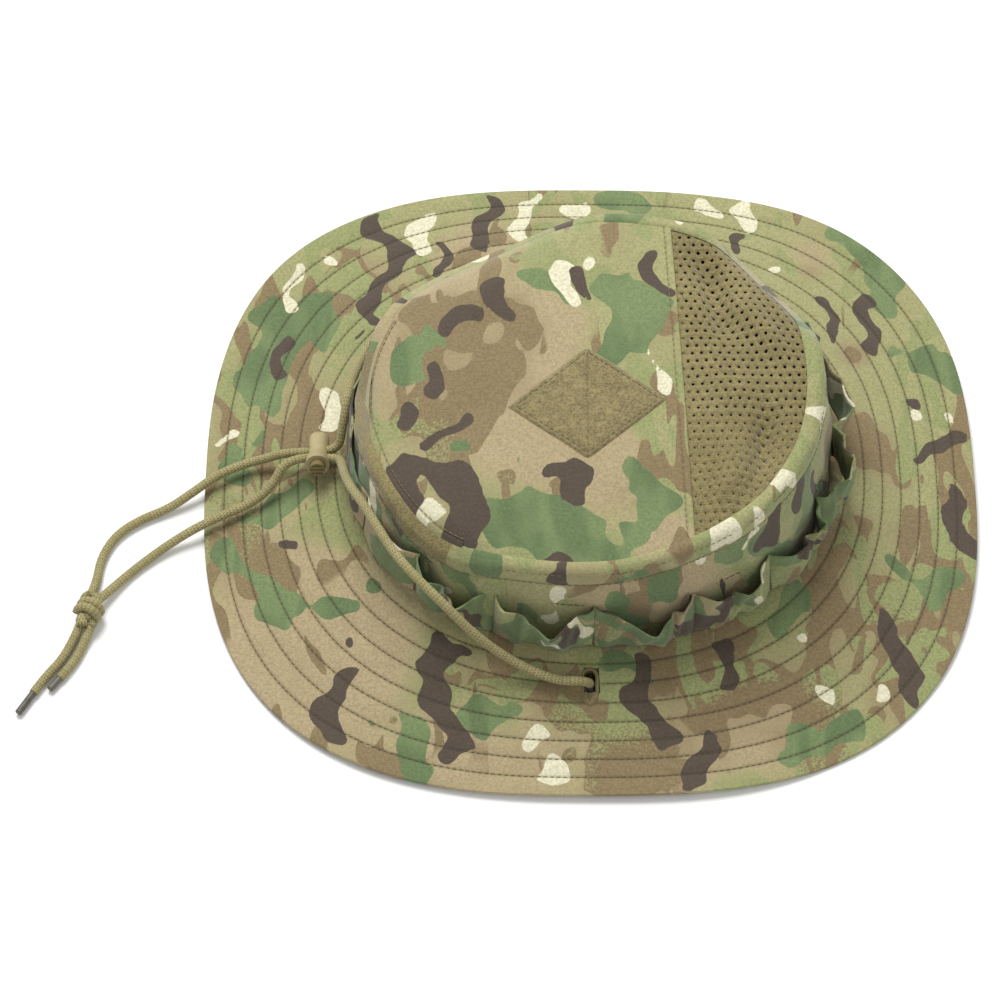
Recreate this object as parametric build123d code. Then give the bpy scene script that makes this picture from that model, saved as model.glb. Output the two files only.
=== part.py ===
from build123d import *
import math
import os

# A brimmed field hat of camouflage cloth with mesh panels in its crown and a chin cord.
# Millimetres. +X is the front of the hat, +Y the wearer's left, +Z up.
# The origin is on the surface that the brim rests on, under the middle of the brim.

os.makedirs("parts", exist_ok=True)

# ---- driving dimensions ----
rim_half_length = 161.0
rim_half_width = 152.0
rim_power = 2.7
rim_hem = 8.0
head_half_length = 98.0
head_half_width = 89.0
head_power = 2.1
crown_taper_length = 6.4
crown_taper_width = 10.1
crown_height = 53.2
crown_reach = 90.0
brim_rise = 14.6
brim_mid_rise = 5.0
outline_points = 32

# cloth
brim_cloth = 0.6
brim_stiffener = 0.5
wall_cloth = 1.2
top_cloth = 0.8
edge_band_cloth = 1.4
edge_band_height = 7.5
edge_band_drop = 0.5
seam_tape_width = 9.0
seam_tape_cloth = 0.5

# slopes of the crown's top: it is higher at the front and at the left
top_slope_length = 0.09
top_slope_width = 0.12
rear_slump_start = 89.5
# turn from the rear towards the right side, distance of the crease from the middle, angle of fall
slumps = [
    (0.0, rear_slump_start, 70.0),
    (53.0, 84.0, 62.0),
    (-60.0, 71.0, 52.0),
    (218.0, 79.0, 62.0),
]
front_seam_x = 35.0
front_seam_turn = 2.7

# sweatband
sweatband_cloth = 1.2
lining_gap = 0.05
sweatband_height = 32.0

# foliage band
band_cloth = 0.8
band_height = 25.0
band_lift = 0.7
loop_count = 16
loop_height = 22.0
loop_lift = 2.2
loop_cloth = 0.7
loop_gap = 0.3
loop_bulge = 9.0
loop_bulge_beside_rear = 3.6
loop_bulge_rear = 2.2
loop_tab = 2.6
loop_ramp = 8.0
loop_spacing_gap = 3.4
bartack_width = 1.4
bartack_depth = 1.6
bartack_inset = 2.0

# patch
patch_half_length = 32.0
patch_half_width = 25.0
patch_cloth = 1.2
patch_x = -2.5
patch_y = -11.0

# chin cord, buttonholes
cord_diameter = 3.8
buttonhole_x = -1.5
buttonhole_offset = 17.5
buttonhole_length = 13.0
buttonhole_gap = 4.8
buttonhole_rim = 1.3
buttonhole_proud = 0.3

# knot and aglets
knot_centre = Vector(-205.2, -67.9, 6.0)
knot_half_length = 7.8
knot_radius = 5.7
knot_turn = 65.0
aglet_diameter = 2.9
aglet_length_a = 11.0
aglet_length_b = 6.5

# cord lock
lock_centre = Vector(-113.0, -0.6, 19.5)
lock_tilt = 20.0
lock_strand_offset = 2.0
lock_body_radius = 4.3
lock_collar_radius = 5.0
lock_collar_height = 2.4
lock_collar_start = 4.8
lock_wall = 1.1
lock_floor = 1.2
lock_hole_clearance = 0.25
lock_hole_half_height = 4.1
button_clearance = 0.1
button_travel = 2.5
button_head_height = 3.2
button_foot = 1.8
button_ribs = 3
spring_wire = 0.5
spring_gap = 0.15
spring_turns = 3
spring_room = 4.0

# ---- worked out from them ----
brim_thickness = 2 * brim_cloth + brim_stiffener
head_height = brim_rise + brim_thickness
cord_radius = cord_diameter / 2
big = 4 * rim_half_length


def oval_point(half_length, half_width, power, turn):
    """Point of a superellipse at a parameter angle in degrees, in plan."""
    along = math.cos(math.radians(turn))
    across = math.sin(math.radians(turn))
    x = half_length * math.copysign(abs(along) ** (2 / power), along)
    y = half_width * math.copysign(abs(across) ** (2 / power), across)
    return Vector(x, y, 0)


def oval(half_length, half_width, power, height):
    """Closed outline at one height."""
    points = []
    for step in range(outline_points):
        flat = oval_point(half_length, half_width, power, 360 * step / outline_points)
        points.append(flat + Vector(0, 0, height))
    return Wire([Spline(*points, periodic=True)])


def head_oval(height, grow=0.0):
    """Outline of the crown's outer face at one height, moved outwards by grow."""
    share = (height - head_height) / crown_height
    half_length = head_half_length - share * crown_taper_length + grow
    half_width = head_half_width - share * crown_taper_width + grow
    return oval(half_length, half_width, head_power, height)


def crown_stack(grow=0.0, low=head_height, high=head_height + crown_reach):
    """Solid inside the crown's outer face moved outwards by grow, between two heights."""
    return Solid.make_loft([head_oval(low, grow), head_oval(high, grow)], True)


def crown_ring(outer, inner, low, high):
    """Ring between two offsets of the crown's outer face."""
    margin = 1.0
    return crown_stack(outer, low, high) - crown_stack(inner, low - margin, high + margin)


def under_plane(origin, normal, drop=0.0):
    """Everything on the low side of a plane that is moved inwards by drop."""
    plane = Plane(origin=origin, z_dir=normal).offset(-drop)
    return plane.location * Pos(0, 0, -big / 2) * Box(big, big, big)


top_origin = Vector(0, 0, head_height + crown_height)
top_normal = Vector(-top_slope_length, -top_slope_width, 1).normalized()


def top_height(x, y):
    """Height of the crown's sloping top face at a place in plan."""
    return top_origin.Z - (top_normal.X * x + top_normal.Y * y) / top_normal.Z


def slump_plane(turn, start, angle):
    """Place and outward direction of a facet that falls away from a crease in the top face."""
    out = Vector(-math.cos(math.radians(turn)), -math.sin(math.radians(turn)), 0)
    crease = out * start
    place = crease + Vector(0, 0, top_height(crease.X, crease.Y))
    return place, out * math.sin(math.radians(angle)) + Vector(0, 0, math.cos(math.radians(angle)))


def under_top(drop=0.0):
    """Everything below the crown's top face and its slumped facets."""
    below = under_plane(top_origin, top_normal, drop)
    for turn, start, angle in slumps:
        below = below & under_plane(*slump_plane(turn, start, angle), drop)
    return below


parts = {}


# ---- brim ----
def brim_layer(low, thickness):
    """One layer of the brim, cut straight down at its outer edge and at the head opening."""
    seam = head_oval(head_height)
    seam = Pos(0, 0, low + brim_rise - head_height) * seam
    inner = oval(head_half_length - wall_cloth, head_half_width - wall_cloth, head_power, low + brim_rise)
    middle_length = (rim_half_length + head_half_length) / 2
    middle_width = (rim_half_width + head_half_width) / 2
    middle = oval(middle_length, middle_width, (rim_power + head_power) / 2, low + brim_mid_rise)
    fold = oval(rim_half_length - rim_hem, rim_half_width - rim_hem, rim_power, low)
    rim = oval(rim_half_length, rim_half_width, rim_power, low)
    slope = Shell.make_loft([seam, middle, fold]).faces()[0]
    lift = Vector(0, 0, thickness)
    strips = [Face(seam, [inner]), slope, Face(rim, [fold])]
    landing, cloth, hem = [Solid.extrude(strip, lift) for strip in strips]
    return landing + cloth + hem


def buttonhole_place(side):
    """Middle of a buttonhole in plan: side is 1 on the left and -1 on the right."""
    return Vector(buttonhole_x, side * (head_half_width + buttonhole_offset), 0)


def buttonhole_prism(side, border):
    """Upright prism over a buttonhole, wider than its opening by border all round."""
    width = buttonhole_gap + 2 * border
    length = buttonhole_length + 2 * border
    return Location(buttonhole_place(side)) * Box(width, length, 2 * head_height + brim_thickness)


layers = {
    "brim_underside": (0.0, brim_cloth),
    "brim_interlining": (brim_cloth, brim_stiffener),
    "brim_top": (brim_cloth + brim_stiffener, brim_cloth),
}
for name, (low, thickness) in layers.items():
    layer = brim_layer(low, thickness)
    for side in (-1, 1):
        layer = layer - buttonhole_prism(side, buttonhole_rim)
    parts[name] = layer

for name, side in (("buttonhole_right", -1), ("buttonhole_left", 1)):
    rim_slab = brim_layer(-buttonhole_proud, brim_thickness + 2 * buttonhole_proud)
    frame = buttonhole_prism(side, buttonhole_rim) - buttonhole_prism(side, 0)
    parts[name] = rim_slab & frame

# ---- crown ----
wall_ring = crown_ring(0, -wall_cloth, head_height, head_height + crown_reach) & under_top(top_cloth)
left_half = Pos(0, big / 2, 0) * Box(big, big, big)
parts["crown_wall_left"] = wall_ring & left_half
parts["crown_wall_right"] = wall_ring - left_half

skin = (crown_stack() & under_top()) - under_top(top_cloth)
seam_place = Pos(front_seam_x, 0, 0) * Rot(0, 0, front_seam_turn)
front_of_seam = seam_place * Pos(big / 2, 0, 0) * Box(big, big, big)
behind_crease = Pos(-rear_slump_start - big / 2, 0, 0) * Box(big, big, big)
parts["crown_top_panel"] = skin - front_of_seam - behind_crease
parts["crown_mesh_front"] = skin & front_of_seam
parts["crown_mesh_rear"] = skin & behind_crease

band_low = head_height + band_lift
band_top = band_low + band_height
band_zone = under_top(edge_band_drop) - under_top(edge_band_drop + edge_band_height)
band_ring = crown_ring(edge_band_cloth, 0, band_top + loop_gap, head_height + crown_reach)
parts["crown_edge_band"] = band_ring & band_zone

lining = (crown_stack(-wall_cloth - lining_gap) & under_top(top_cloth)) - under_top(top_cloth + seam_tape_cloth)
rear_tape_place = Pos(seam_tape_width - rear_slump_start, 0, 0)
for name, place in (("seam_tape_front", seam_place), ("seam_tape_rear", rear_tape_place)):
    parts[name] = lining & (place * Box(seam_tape_width, big, big))

sweat_face = -wall_cloth - lining_gap
sweat_top = head_height + sweatband_height
parts["sweatband"] = crown_ring(sweat_face, sweat_face - sweatband_cloth, head_height, sweat_top)

# ---- foliage band: a flat strip and the loops on it ----
parts["foliage_strip"] = crown_ring(band_cloth, 0, band_low, band_top)


def wall_point(turn, out, height):
    """Point at a parameter angle and height that stands out from the crown's wall by out."""
    share = (height - head_height) / crown_height
    half_length = head_half_length - share * crown_taper_length
    half_width = head_half_width - share * crown_taper_width
    here = oval_point(half_length, half_width, head_power, turn)
    step = 0.5
    ahead = oval_point(half_length, half_width, head_power, turn + step)
    behind = oval_point(half_length, half_width, head_power, turn - step)
    along = (ahead - behind).normalized()
    normal = Vector(along.Y, -along.X, 0)
    return here + normal * out + Vector(0, 0, height)


loop_pitch = 360 / loop_count


def loop_bulge_at(turn):
    """How far a loop stands out: those at the rear are pressed flat by the chin cord."""
    from_rear = 180 - abs(turn)
    if from_rear < loop_pitch:
        return loop_bulge_rear
    if from_rear < 2 * loop_pitch:
        return loop_bulge_beside_rear
    return loop_bulge


def loop_solid(turn):
    """An upright strip that leaves the band, runs along it at a distance and comes back."""
    low = head_height + loop_lift
    radius = (head_half_length + head_half_width) / 2
    tab = math.degrees(loop_tab / radius)
    ramp = math.degrees((loop_tab + loop_ramp) / radius)
    half_span = (loop_pitch - math.degrees(loop_spacing_gap / radius)) / 2
    start = turn - half_span
    stop = turn + half_span
    near = band_cloth + loop_gap
    far = band_cloth + loop_bulge_at(turn)
    stations = [(start, near), (start + tab, near), (start + ramp, far)]
    stations += [(stop - ramp, far), (stop - tab, near), (stop, near)]
    inner = [wall_point(at, out, low) for at, out in stations]
    outer = [wall_point(at, out + loop_cloth, low) for at, out in reversed(stations)]
    rise = wall_point(turn, near, low + loop_height) - wall_point(turn, near, low)
    return Solid.extrude(Face(Wire.make_polygon(inner + outer, close=True)), rise)


tack_turns = [loop_pitch * step - 180 for step in range(loop_count)]
for number, turn in enumerate(tack_turns, 1):
    parts[f"foliage_loop_{number:02d}"] = loop_solid(turn + loop_pitch / 2)


def bartack(turn):
    """Bar of stitching that holds the band between two loops."""
    face = band_cloth + lining_gap
    low = wall_point(turn, face, band_low + bartack_inset)
    rise = wall_point(turn, face, band_top - bartack_inset) - low
    out = wall_point(turn, face + bartack_depth, band_low + bartack_inset) - low
    place = Plane(origin=low, x_dir=out, z_dir=rise)
    bar = Box(bartack_depth, bartack_width, rise.length, align=(Align.MIN, Align.CENTER, Align.MIN))
    return place.location * bar


parts["foliage_bartacks"] = Compound(children=[bartack(turn) for turn in tack_turns])

# ---- loop patch ----
patch_base = Vector(patch_x, patch_y, top_height(patch_x, patch_y))
patch_plane = Plane(origin=patch_base, x_dir=(1, 0, top_slope_length), z_dir=top_normal)
patch_corners = [
    (patch_half_length, 0),
    (0, patch_half_width),
    (-patch_half_length, 0),
    (0, -patch_half_width),
]
parts["loop_patch"] = extrude(patch_plane * make_face(Polyline(*patch_corners, close=True)), patch_cloth)

# ---- cord lock ----
tilt = math.radians(lock_tilt)
lock_axis = Vector(0, -math.cos(tilt), math.sin(tilt))
lock_place = Plane(origin=lock_centre, x_dir=(1, 0, 0), z_dir=lock_axis)
hole_half_width = cord_radius + lock_hole_clearance
bore_radius = lock_body_radius - lock_wall
plunger_radius = bore_radius - button_clearance
plunger_foot = -lock_hole_half_height - button_foot
bore_floor = plunger_foot - spring_room
lock_bottom = bore_floor - lock_floor
lock_top = lock_collar_start + lock_collar_height


def drum(radius, low, high):
    """Round bar on the lock's axis between two heights."""
    return Pos(0, 0, low) * Cylinder(radius, high - low, align=(Align.CENTER, Align.CENTER, Align.MIN))


def cord_hole(low, high):
    """Slot across the lock for the two strands."""
    slot = Box(4 * lock_collar_radius, 2 * hole_half_width, high - low)
    return Pos(0, 0, (low + high) / 2) * slot


body = drum(lock_body_radius, lock_bottom, lock_collar_start)
body = body + drum(lock_collar_radius, lock_collar_start, lock_top)
body = fillet(body.edges().sort_by(Axis.Z)[0], lock_floor / 2)
body = body - drum(bore_radius, bore_floor, lock_top)
body = body - cord_hole(-lock_hole_half_height, lock_hole_half_height)
parts["cord_lock_body"] = lock_place.location * body

button = drum(plunger_radius, plunger_foot, lock_top + button_head_height)
button = button - cord_hole(-lock_hole_half_height, lock_hole_half_height + button_travel)
rib_pitch = 2 * plunger_radius / (2 * button_ribs + 1)
for step in range(button_ribs):
    groove = Pos(0, (2 * step - button_ribs + 1) * rib_pitch, lock_top + button_head_height)
    button = button - groove * Box(4 * plunger_radius, rib_pitch / 2, rib_pitch)
parts["cord_lock_button"] = lock_place.location * button

spring_radius = plunger_radius - spring_wire
coil = Solid.make_torus(spring_radius, spring_wire / 2)
coils = []
coil_room = spring_room - 2 * spring_gap - spring_wire
for step in range(spring_turns):
    coil_height = bore_floor + spring_gap + spring_wire / 2 + coil_room * step / (spring_turns - 1)
    coils.append(lock_place.location * Pos(0, 0, coil_height) * coil)
parts["cord_lock_spring"] = Compound(children=coils)

# ---- chin cord: each route is a list of points chosen by hand ----
right_strand_y = lock_centre.Y + lock_strand_offset * lock_axis.Y
right_strand_z = lock_centre.Z + lock_strand_offset * lock_axis.Z
left_strand_y = lock_centre.Y - lock_strand_offset * lock_axis.Y
left_strand_z = lock_centre.Z - lock_strand_offset * lock_axis.Z

right_route = [
    (-1.5, -103.5, 7.2),
    (-1.5, -106.3, 13.5),
    (-5.5, -107.5, 17.0),
    (-15.0, -106.8, 16.3),
    (-26.5, -102.3, 17.4),
    (-38.0, -98.4, 23.6),
    (-49.0, -95.2, 34.4),
    (-60.5, -87.4, 44.2),
    (-71.0, -77.6, 47.2),
    (-80.6, -65.4, 47.8),
    (-87.8, -51.6, 47.2),
    (-93.6, -39.4, 44.2),
    (-98.2, -29.0, 38.6),
    (-101.2, -18.8, 32.2),
    (-102.8, -9.0, 26.4),
    (-104.8, right_strand_y, right_strand_z),
    (-126.0, right_strand_y, right_strand_z),
    (-132.6, -12.0, 11.8),
    (-141.2, -17.4, 8.0),
    (-152.2, -22.2, 7.0),
    (-163.4, -28.2, 6.5),
    (-174.0, -34.0, 3.4),
    (-184.4, -42.2, 2.1),
    (-193.6, -51.4, 2.1),
    (-202.8, -63.6, 5.2),
]
left_route = [
    (-1.5, 103.5, 7.2),
    (-1.5, 106.3, 13.5),
    (-5.5, 107.5, 16.8),
    (-15.0, 106.8, 15.2),
    (-29.5, 103.6, 15.0),
    (-43.8, 98.8, 15.3),
    (-57.6, 92.2, 15.6),
    (-71.0, 83.8, 15.8),
    (-83.4, 72.6, 16.2),
    (-91.8, 59.8, 16.8),
    (-96.4, 47.2, 20.0),
    (-98.4, 37.0, 26.0),
    (-99.6, 28.6, 31.4),
    (-100.4, 21.0, 34.4),
    (-101.4, 14.2, 33.2),
    (-102.8, 8.2, 27.4),
    (-104.8, left_strand_y, left_strand_z),
    (-125.4, left_strand_y, left_strand_z),
    (-135.0, 3.2, 11.4),
    (-145.4, 2.2, 8.0),
    (-156.0, -2.6, 7.0),
    (-165.4, -10.0, 5.6),
    (-175.4, -16.2, 2.5),
    (-187.0, -21.4, 2.1),
    (-196.8, -29.0, 2.1),
    (-202.4, -40.4, 2.1),
    (-203.4, -53.0, 2.5),
    (-206.4, -64.0, 5.2),
]
under_route = [
    (-1.5, -103.5, 7.2),
    (-1.5, -101.2, 2.1),
    (-0.6, -92.5, 2.1),
    (1.6, -77.0, 2.1),
    (4.6, -50.0, 2.1),
    (-5.0, -12.0, 2.1),
    (5.2, 26.0, 2.1),
    (1.4, 56.0, 2.1),
    (-2.2, 79.0, 2.1),
    (-1.9, 93.0, 2.1),
    (-1.5, 101.2, 2.1),
    (-1.5, 103.5, 7.2),
]
tail_a_route = [
    (-207.4, -70.5, 4.8),
    (-211.4, -80.2, 2.2),
    (-215.4, -89.2, 2.1),
    (-221.2, -96.6, 2.1),
    (-225.8, -104.4, 2.1),
]
tail_b_route = [
    (-201.8, -67.2, 5.4),
    (-203.4, -72.0, 4.8),
    (-207.0, -81.6, 2.2),
    (-210.4, -90.4, 2.1),
    (-215.6, -97.6, 2.1),
]


def bend_radii(points):
    """Largest radius that each corner's two runs allow."""
    bend_share = 0.45
    radii = []
    for before, here, after in zip(points, points[1:], points[2:]):
        first = here - before
        second = after - here
        half_turn = math.radians(first.get_angle(second)) / 2
        radii.append(bend_share * min(first.length, second.length) / math.tan(half_turn))
    return radii


def cord_tube(name, route):
    """Round tube along straight runs joined by tangent arcs."""
    points = [Vector(*point) for point in route]
    radii = bend_radii(points)
    path = FilletPolyline(*points, radius=radii)
    start = Plane(origin=path @ 0, z_dir=path % 0)
    tube = sweep(start * Circle(cord_radius), path=path)
    expected = math.pi * cord_radius**2 * path.length
    smallest = ", ".join(f"{radius:.1f}" for radius in radii)
    print(f"{name}: length {path.length:.1f}, volume share {tube.volume / expected:.4f}, radii {smallest}")
    return tube


upper_half = Pos(0, knot_radius, 0) * Rectangle(2 * knot_half_length, 2 * knot_radius)
knot_shape = revolve(Ellipse(knot_half_length, knot_radius) & upper_half, axis=Axis.X)
parts["chin_cord_knot"] = Location(knot_centre) * Rot(0, 0, knot_turn) * knot_shape

cord_routes = {
    "chin_cord_right": right_route,
    "chin_cord_left": left_route,
    "chin_cord_under": under_route,
    "chin_cord_tail_a": tail_a_route,
    "chin_cord_tail_b": tail_b_route,
}
for name, route in cord_routes.items():
    parts[name] = cord_tube(name, route) - parts["chin_cord_knot"]


def aglet(route, length):
    """Metal tip that carries on in line with the end of a tail."""
    end = Vector(*route[-1])
    direction = (end - Vector(*route[-2])).normalized()
    place = Plane(origin=end, z_dir=direction)
    tip = Cylinder(aglet_diameter / 2, length, align=(Align.CENTER, Align.CENTER, Align.MIN))
    return place.location * fillet(tip.edges().sort_by(Axis.Z)[-1], aglet_diameter / 6)


parts["aglet_a"] = aglet(tail_a_route, aglet_length_a)
parts["aglet_b"] = aglet(tail_b_route, aglet_length_b)

for name, shape in parts.items():
    export_step(shape, f"parts/{name}.step")
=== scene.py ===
import math

import bmesh
import bpy
import numpy as np
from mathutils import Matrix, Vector


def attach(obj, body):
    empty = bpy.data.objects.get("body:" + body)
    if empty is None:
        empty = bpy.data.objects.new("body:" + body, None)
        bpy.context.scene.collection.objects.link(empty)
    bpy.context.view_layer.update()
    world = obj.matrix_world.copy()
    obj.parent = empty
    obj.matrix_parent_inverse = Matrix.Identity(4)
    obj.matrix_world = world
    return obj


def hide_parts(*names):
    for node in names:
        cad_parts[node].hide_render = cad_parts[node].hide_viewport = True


# A brimmed field hat of camouflage cloth, lying on its brim with its chin cord spread out behind it.
# Shapes are worked out in millimetres, and meshes are made in metres.
# +X is the front of the hat, +Y the wearer's left, +Z up.

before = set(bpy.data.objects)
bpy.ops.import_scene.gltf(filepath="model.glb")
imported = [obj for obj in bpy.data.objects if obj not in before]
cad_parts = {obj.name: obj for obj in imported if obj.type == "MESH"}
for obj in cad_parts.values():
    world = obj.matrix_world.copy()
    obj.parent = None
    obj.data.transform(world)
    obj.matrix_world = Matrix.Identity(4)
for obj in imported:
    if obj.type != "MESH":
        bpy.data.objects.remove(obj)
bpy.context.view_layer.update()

MM = 0.001
TURN = 2 * math.pi

# ---- sizes shared with the CAD model, millimetres ----
RIM_LENGTH, RIM_WIDTH, RIM_POWER = 161.0, 152.0, 2.7
HEAD_LENGTH, HEAD_WIDTH, HEAD_POWER = 98.0, 89.0, 2.1
TAPER_LENGTH, TAPER_WIDTH, CROWN_HEIGHT = 6.4, 10.1, 53.2
WALL_CLOTH = 1.2
BRIM_RISE, BRIM_THICKNESS, RIM_HEM = 14.6, 1.7, 8.0
HEAD_HEIGHT = BRIM_RISE + BRIM_THICKNESS
BRIM_WIDTH = RIM_LENGTH - HEAD_LENGTH + WALL_CLOTH
TOP_SLOPE_LENGTH, TOP_SLOPE_WIDTH = 0.09, 0.12
REAR_START = 89.5
# Slumped facets: turn from the rear towards the right side, distance of the crease, angle of fall.
SLUMPS = [(0.0, REAR_START, 70.0), (53.0, 84.0, 62.0), (-60.0, 71.0, 52.0), (218.0, 79.0, 62.0)]
SEAM_X, SEAM_TURN = 35.0, 2.7
BAND_LOW, BAND_TOP = HEAD_HEIGHT + 0.7, HEAD_HEIGHT + 25.7
LOOP_COUNT, LOOP_LOW, LOOP_HEIGHT = 16, HEAD_HEIGHT + 2.2, 22.0
SWEATBAND_HEIGHT = 32.0
SLIT_X, SLIT_Y, SLIT_LENGTH, SLIT_GAP = -1.5, 106.5, 13.0, 4.8
SLIT_OPEN = 2.4
PATCH_X, PATCH_Y, PATCH_LENGTH, PATCH_WIDTH = -2.5, -11.0, 32.0, 25.0
CORD_DIAMETER = 3.8
CORD_RADIUS = CORD_DIAMETER / 2
LOCK_Y, LOCK_Z, LOCK_TILT, LOCK_OFFSET = -0.6, 19.5, 20.0, 2.0

# ---- what Blender adds ----
BRIM_TURNS, CROWN_TURNS = 480, 540
BRIM_SLOPE, BRIM_CURVE, BRIM_ROUNDING = 9.56, 5.04, 0.05
TOP_LOW, TOP_HIGH, TOP_PITCH = (-100, -92), (100, 92), 1.7
MESH_PITCH, MESH_HOLE = (3.7, 3.5), (0.74, 0.74)
REAR_MESH_LOW, REAR_MESH_HIGH = (-104, -60), (-80, 60)
REAR_MESH_PITCH, REAR_MESH_HOLE = (1.4, 3.4), (0.35, 0.75)
CREASE_ROUNDING = 3.2
DOME_RISE = 4.5
STITCH_ROWS = 7
FIRST_ROW, ROW_PITCH = 8.2, 7.75
THREAD_RADIUS, TACK_RADIUS = 0.19, 0.3
STITCH_SIDES, STITCH_STATIONS = 5, 5

rng = np.random.default_rng(7)


# ---------------------------------------------------------------- outlines
def superellipse(half_length, half_width, power, turn):
    """Plan points of a superellipse. Every argument may be an array."""
    along, across = np.cos(turn), np.sin(turn)
    x = half_length * np.sign(along) * np.abs(along) ** (2 / power)
    y = half_width * np.sign(across) * np.abs(across) ** (2 / power)
    return np.stack([x, y], axis=-1)


def wall_plan(turn, height, out=0.0):
    """Plan points of the crown's outer face at a height, moved outwards."""
    share = (height - HEAD_HEIGHT) / CROWN_HEIGHT
    half_length = HEAD_LENGTH - share * TAPER_LENGTH + out
    half_width = HEAD_WIDTH - share * TAPER_WIDTH + out
    return superellipse(half_length, half_width, HEAD_POWER, turn)


def wall_point(turn, height, out=0.0):
    """Points of the crown's outer face, moved outwards."""
    plan = wall_plan(turn, height, out)
    height = np.broadcast_to(height, plan.shape[:-1])
    return np.concatenate([plan, height[..., None]], axis=-1)


def sloping_top(x, y):
    """Height of the crown's top without its slumps."""
    return HEAD_HEIGHT + CROWN_HEIGHT + TOP_SLOPE_LENGTH * x + TOP_SLOPE_WIDTH * y


def top_planes(x, y):
    """Height of the crown's top: the lowest of a sloping plane and its facets, with rounded creases."""
    heights = [sloping_top(x, y)]
    for turn, start, angle in SLUMPS:
        facing = math.radians(turn)
        out_x, out_y = -math.cos(facing), -math.sin(facing)
        fall = math.tan(math.radians(angle)) * (out_x * x + out_y * y - start)
        heights.append(sloping_top(out_x * start, out_y * start) - fall)
    return -CREASE_ROUNDING * np.log(np.exp(-np.stack(heights) / CREASE_ROUNDING).sum(axis=0))


def seam_ring(turn):
    """Where the crown's outer face meets its top."""
    height = np.full(turn.shape, HEAD_HEIGHT + CROWN_HEIGHT)
    for _ in range(80):
        plan = wall_plan(turn, height)
        height = 0.6 * height + 0.4 * top_planes(plan[..., 0], plan[..., 1])
    height = height + 0.7 * np.sin(5 * turn + 0.6) + 0.5 * np.sin(11 * turn + 2.0)
    return wall_point(turn, height)


RING_TURNS = np.linspace(0, TURN, 721)
RING = seam_ring(RING_TURNS)
RING_ANGLE = np.unwrap(np.arctan2(RING[:, 1], RING[:, 0]))
RING_REACH = np.hypot(RING[:, 0], RING[:, 1])


def ridge(x, y, start, end, width, height):
    """A soft ridge, or a valley where height is negative, along a line in plan."""
    start, end = np.array(start, float), np.array(end, float)
    along = end - start
    share = np.clip(((x - start[0]) * along[0] + (y - start[1]) * along[1]) / (along @ along), 0, 1)
    away = np.hypot(x - start[0] - share * along[0], y - start[1] - share * along[1])
    return height * np.exp(-((away / width) ** 2)) * np.sin(math.pi * np.clip(share, 0.02, 0.98)) ** 0.5


# soft folds in the crown's top: start, end, width and height
TOP_FOLDS = [
    ((44, 62), (55, 16), 5.0, -4.6), ((70, -12), (66, -58), 4.6, -5.6), ((57, -30), (50, -72), 6.0, 3.2),
    ((58, 36), (80, 4), 5.0, 3.4), ((46, 4), (62, -14), 8.0, 1.4), ((-20, 62), (-50, 30), 12.0, 1.6),
    ((-60, -20), (-30, -62), 11.0, 1.8), ((-44, -2), (-66, -36), 9.0, -1.6),
    ((2, -52), (26, -66), 9.0, -1.4), ((-10, 34), (26, 54), 10.0, -1.2),
]


def top_surface(x, y):
    """Height of the crown's top with its dome and folds."""
    angle = np.mod(np.arctan2(y, x) - RING_ANGLE[0], TURN) + RING_ANGLE[0]
    reach = np.interp(angle, RING_ANGLE, RING_REACH)
    share = np.clip(np.hypot(x, y) / reach, 0, 1)
    rim = np.interp(angle, RING_ANGLE, RING[:, 2])
    flat = top_planes(x, y)
    edge = np.interp(angle, RING_ANGLE, top_planes(RING[:, 0], RING[:, 1]))
    height = flat + (rim - edge) * share**6 + DOME_RISE * (1 - share**2.6)
    inside = np.clip((1 - share) * 6, 0, 1)
    for start, end, width, rise in TOP_FOLDS:
        height = height + inside * ridge(x, y, start, end, width, rise)
    return height + 0.35 * inside * np.sin(x / 7.0 + 1.3 * np.sin(y / 11.0)) * np.sin(y / 9.0 + 0.8)


# ---------------------------------------------------------------- meshes
def mesh_object(name, points, faces):
    """A smooth mesh in metres from points in millimetres, riding on the hat."""
    mesh = bpy.data.meshes.new(name)
    mesh.from_pydata((np.asarray(points).reshape(-1, 3) * MM).tolist(), [], faces)
    mesh.update()
    mesh.polygons.foreach_set("use_smooth", [True] * len(mesh.polygons))
    piece = bpy.data.objects.new(name, mesh)
    bpy.context.scene.collection.objects.link(piece)
    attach(piece, "hat")
    return piece


def grid_faces(rows, columns, closed=False):
    """Quads of a grid of points stored row by row. A closed grid joins its last column to its first."""
    faces = []
    for row in range(rows - 1):
        for column in range(columns if closed else columns - 1):
            beside = (column + 1) % columns
            low, high = row * columns, (row + 1) * columns
            faces.append((low + column, low + beside, high + beside, high + column))
    return faces


def grid_object(name, points, closed=False):
    """A mesh from an array of rows of points."""
    return mesh_object(name, points, grid_faces(*points.shape[:2], closed))


def thicken(piece, thickness, offset=-1.0):
    """Gives cloth its thickness."""
    solid = piece.modifiers.new("thickness", "SOLIDIFY")
    solid.thickness = thickness * MM
    solid.offset = offset
    return piece


def give(piece, finish, *nodes):
    """Puts the material of a finish, which is a material and its slot, on a piece that stands for the nodes.
    The slot is not used.
    """
    material, slot = finish
    piece.data.materials.clear()
    piece.data.materials.append(material)
    if nodes:
        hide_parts(*nodes)
    return piece


def add_field(piece, name, values):
    """Stores one number for each vertex."""
    field = piece.data.attributes.new(name, "FLOAT", "POINT")
    field.data.foreach_set("value", np.asarray(values, np.float32).ravel())


def interpolated(at, reach, values):
    """Rows of values read at distances along a line whose points lie at the distances in reach."""
    return np.stack([np.interp(at, reach, values[:, axis]) for axis in range(3)], axis=1)


def distances(line):
    """Distance of each point of a line from its start."""
    return np.concatenate([[0], np.cumsum(np.linalg.norm(np.diff(line, axis=0), axis=1))])


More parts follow.
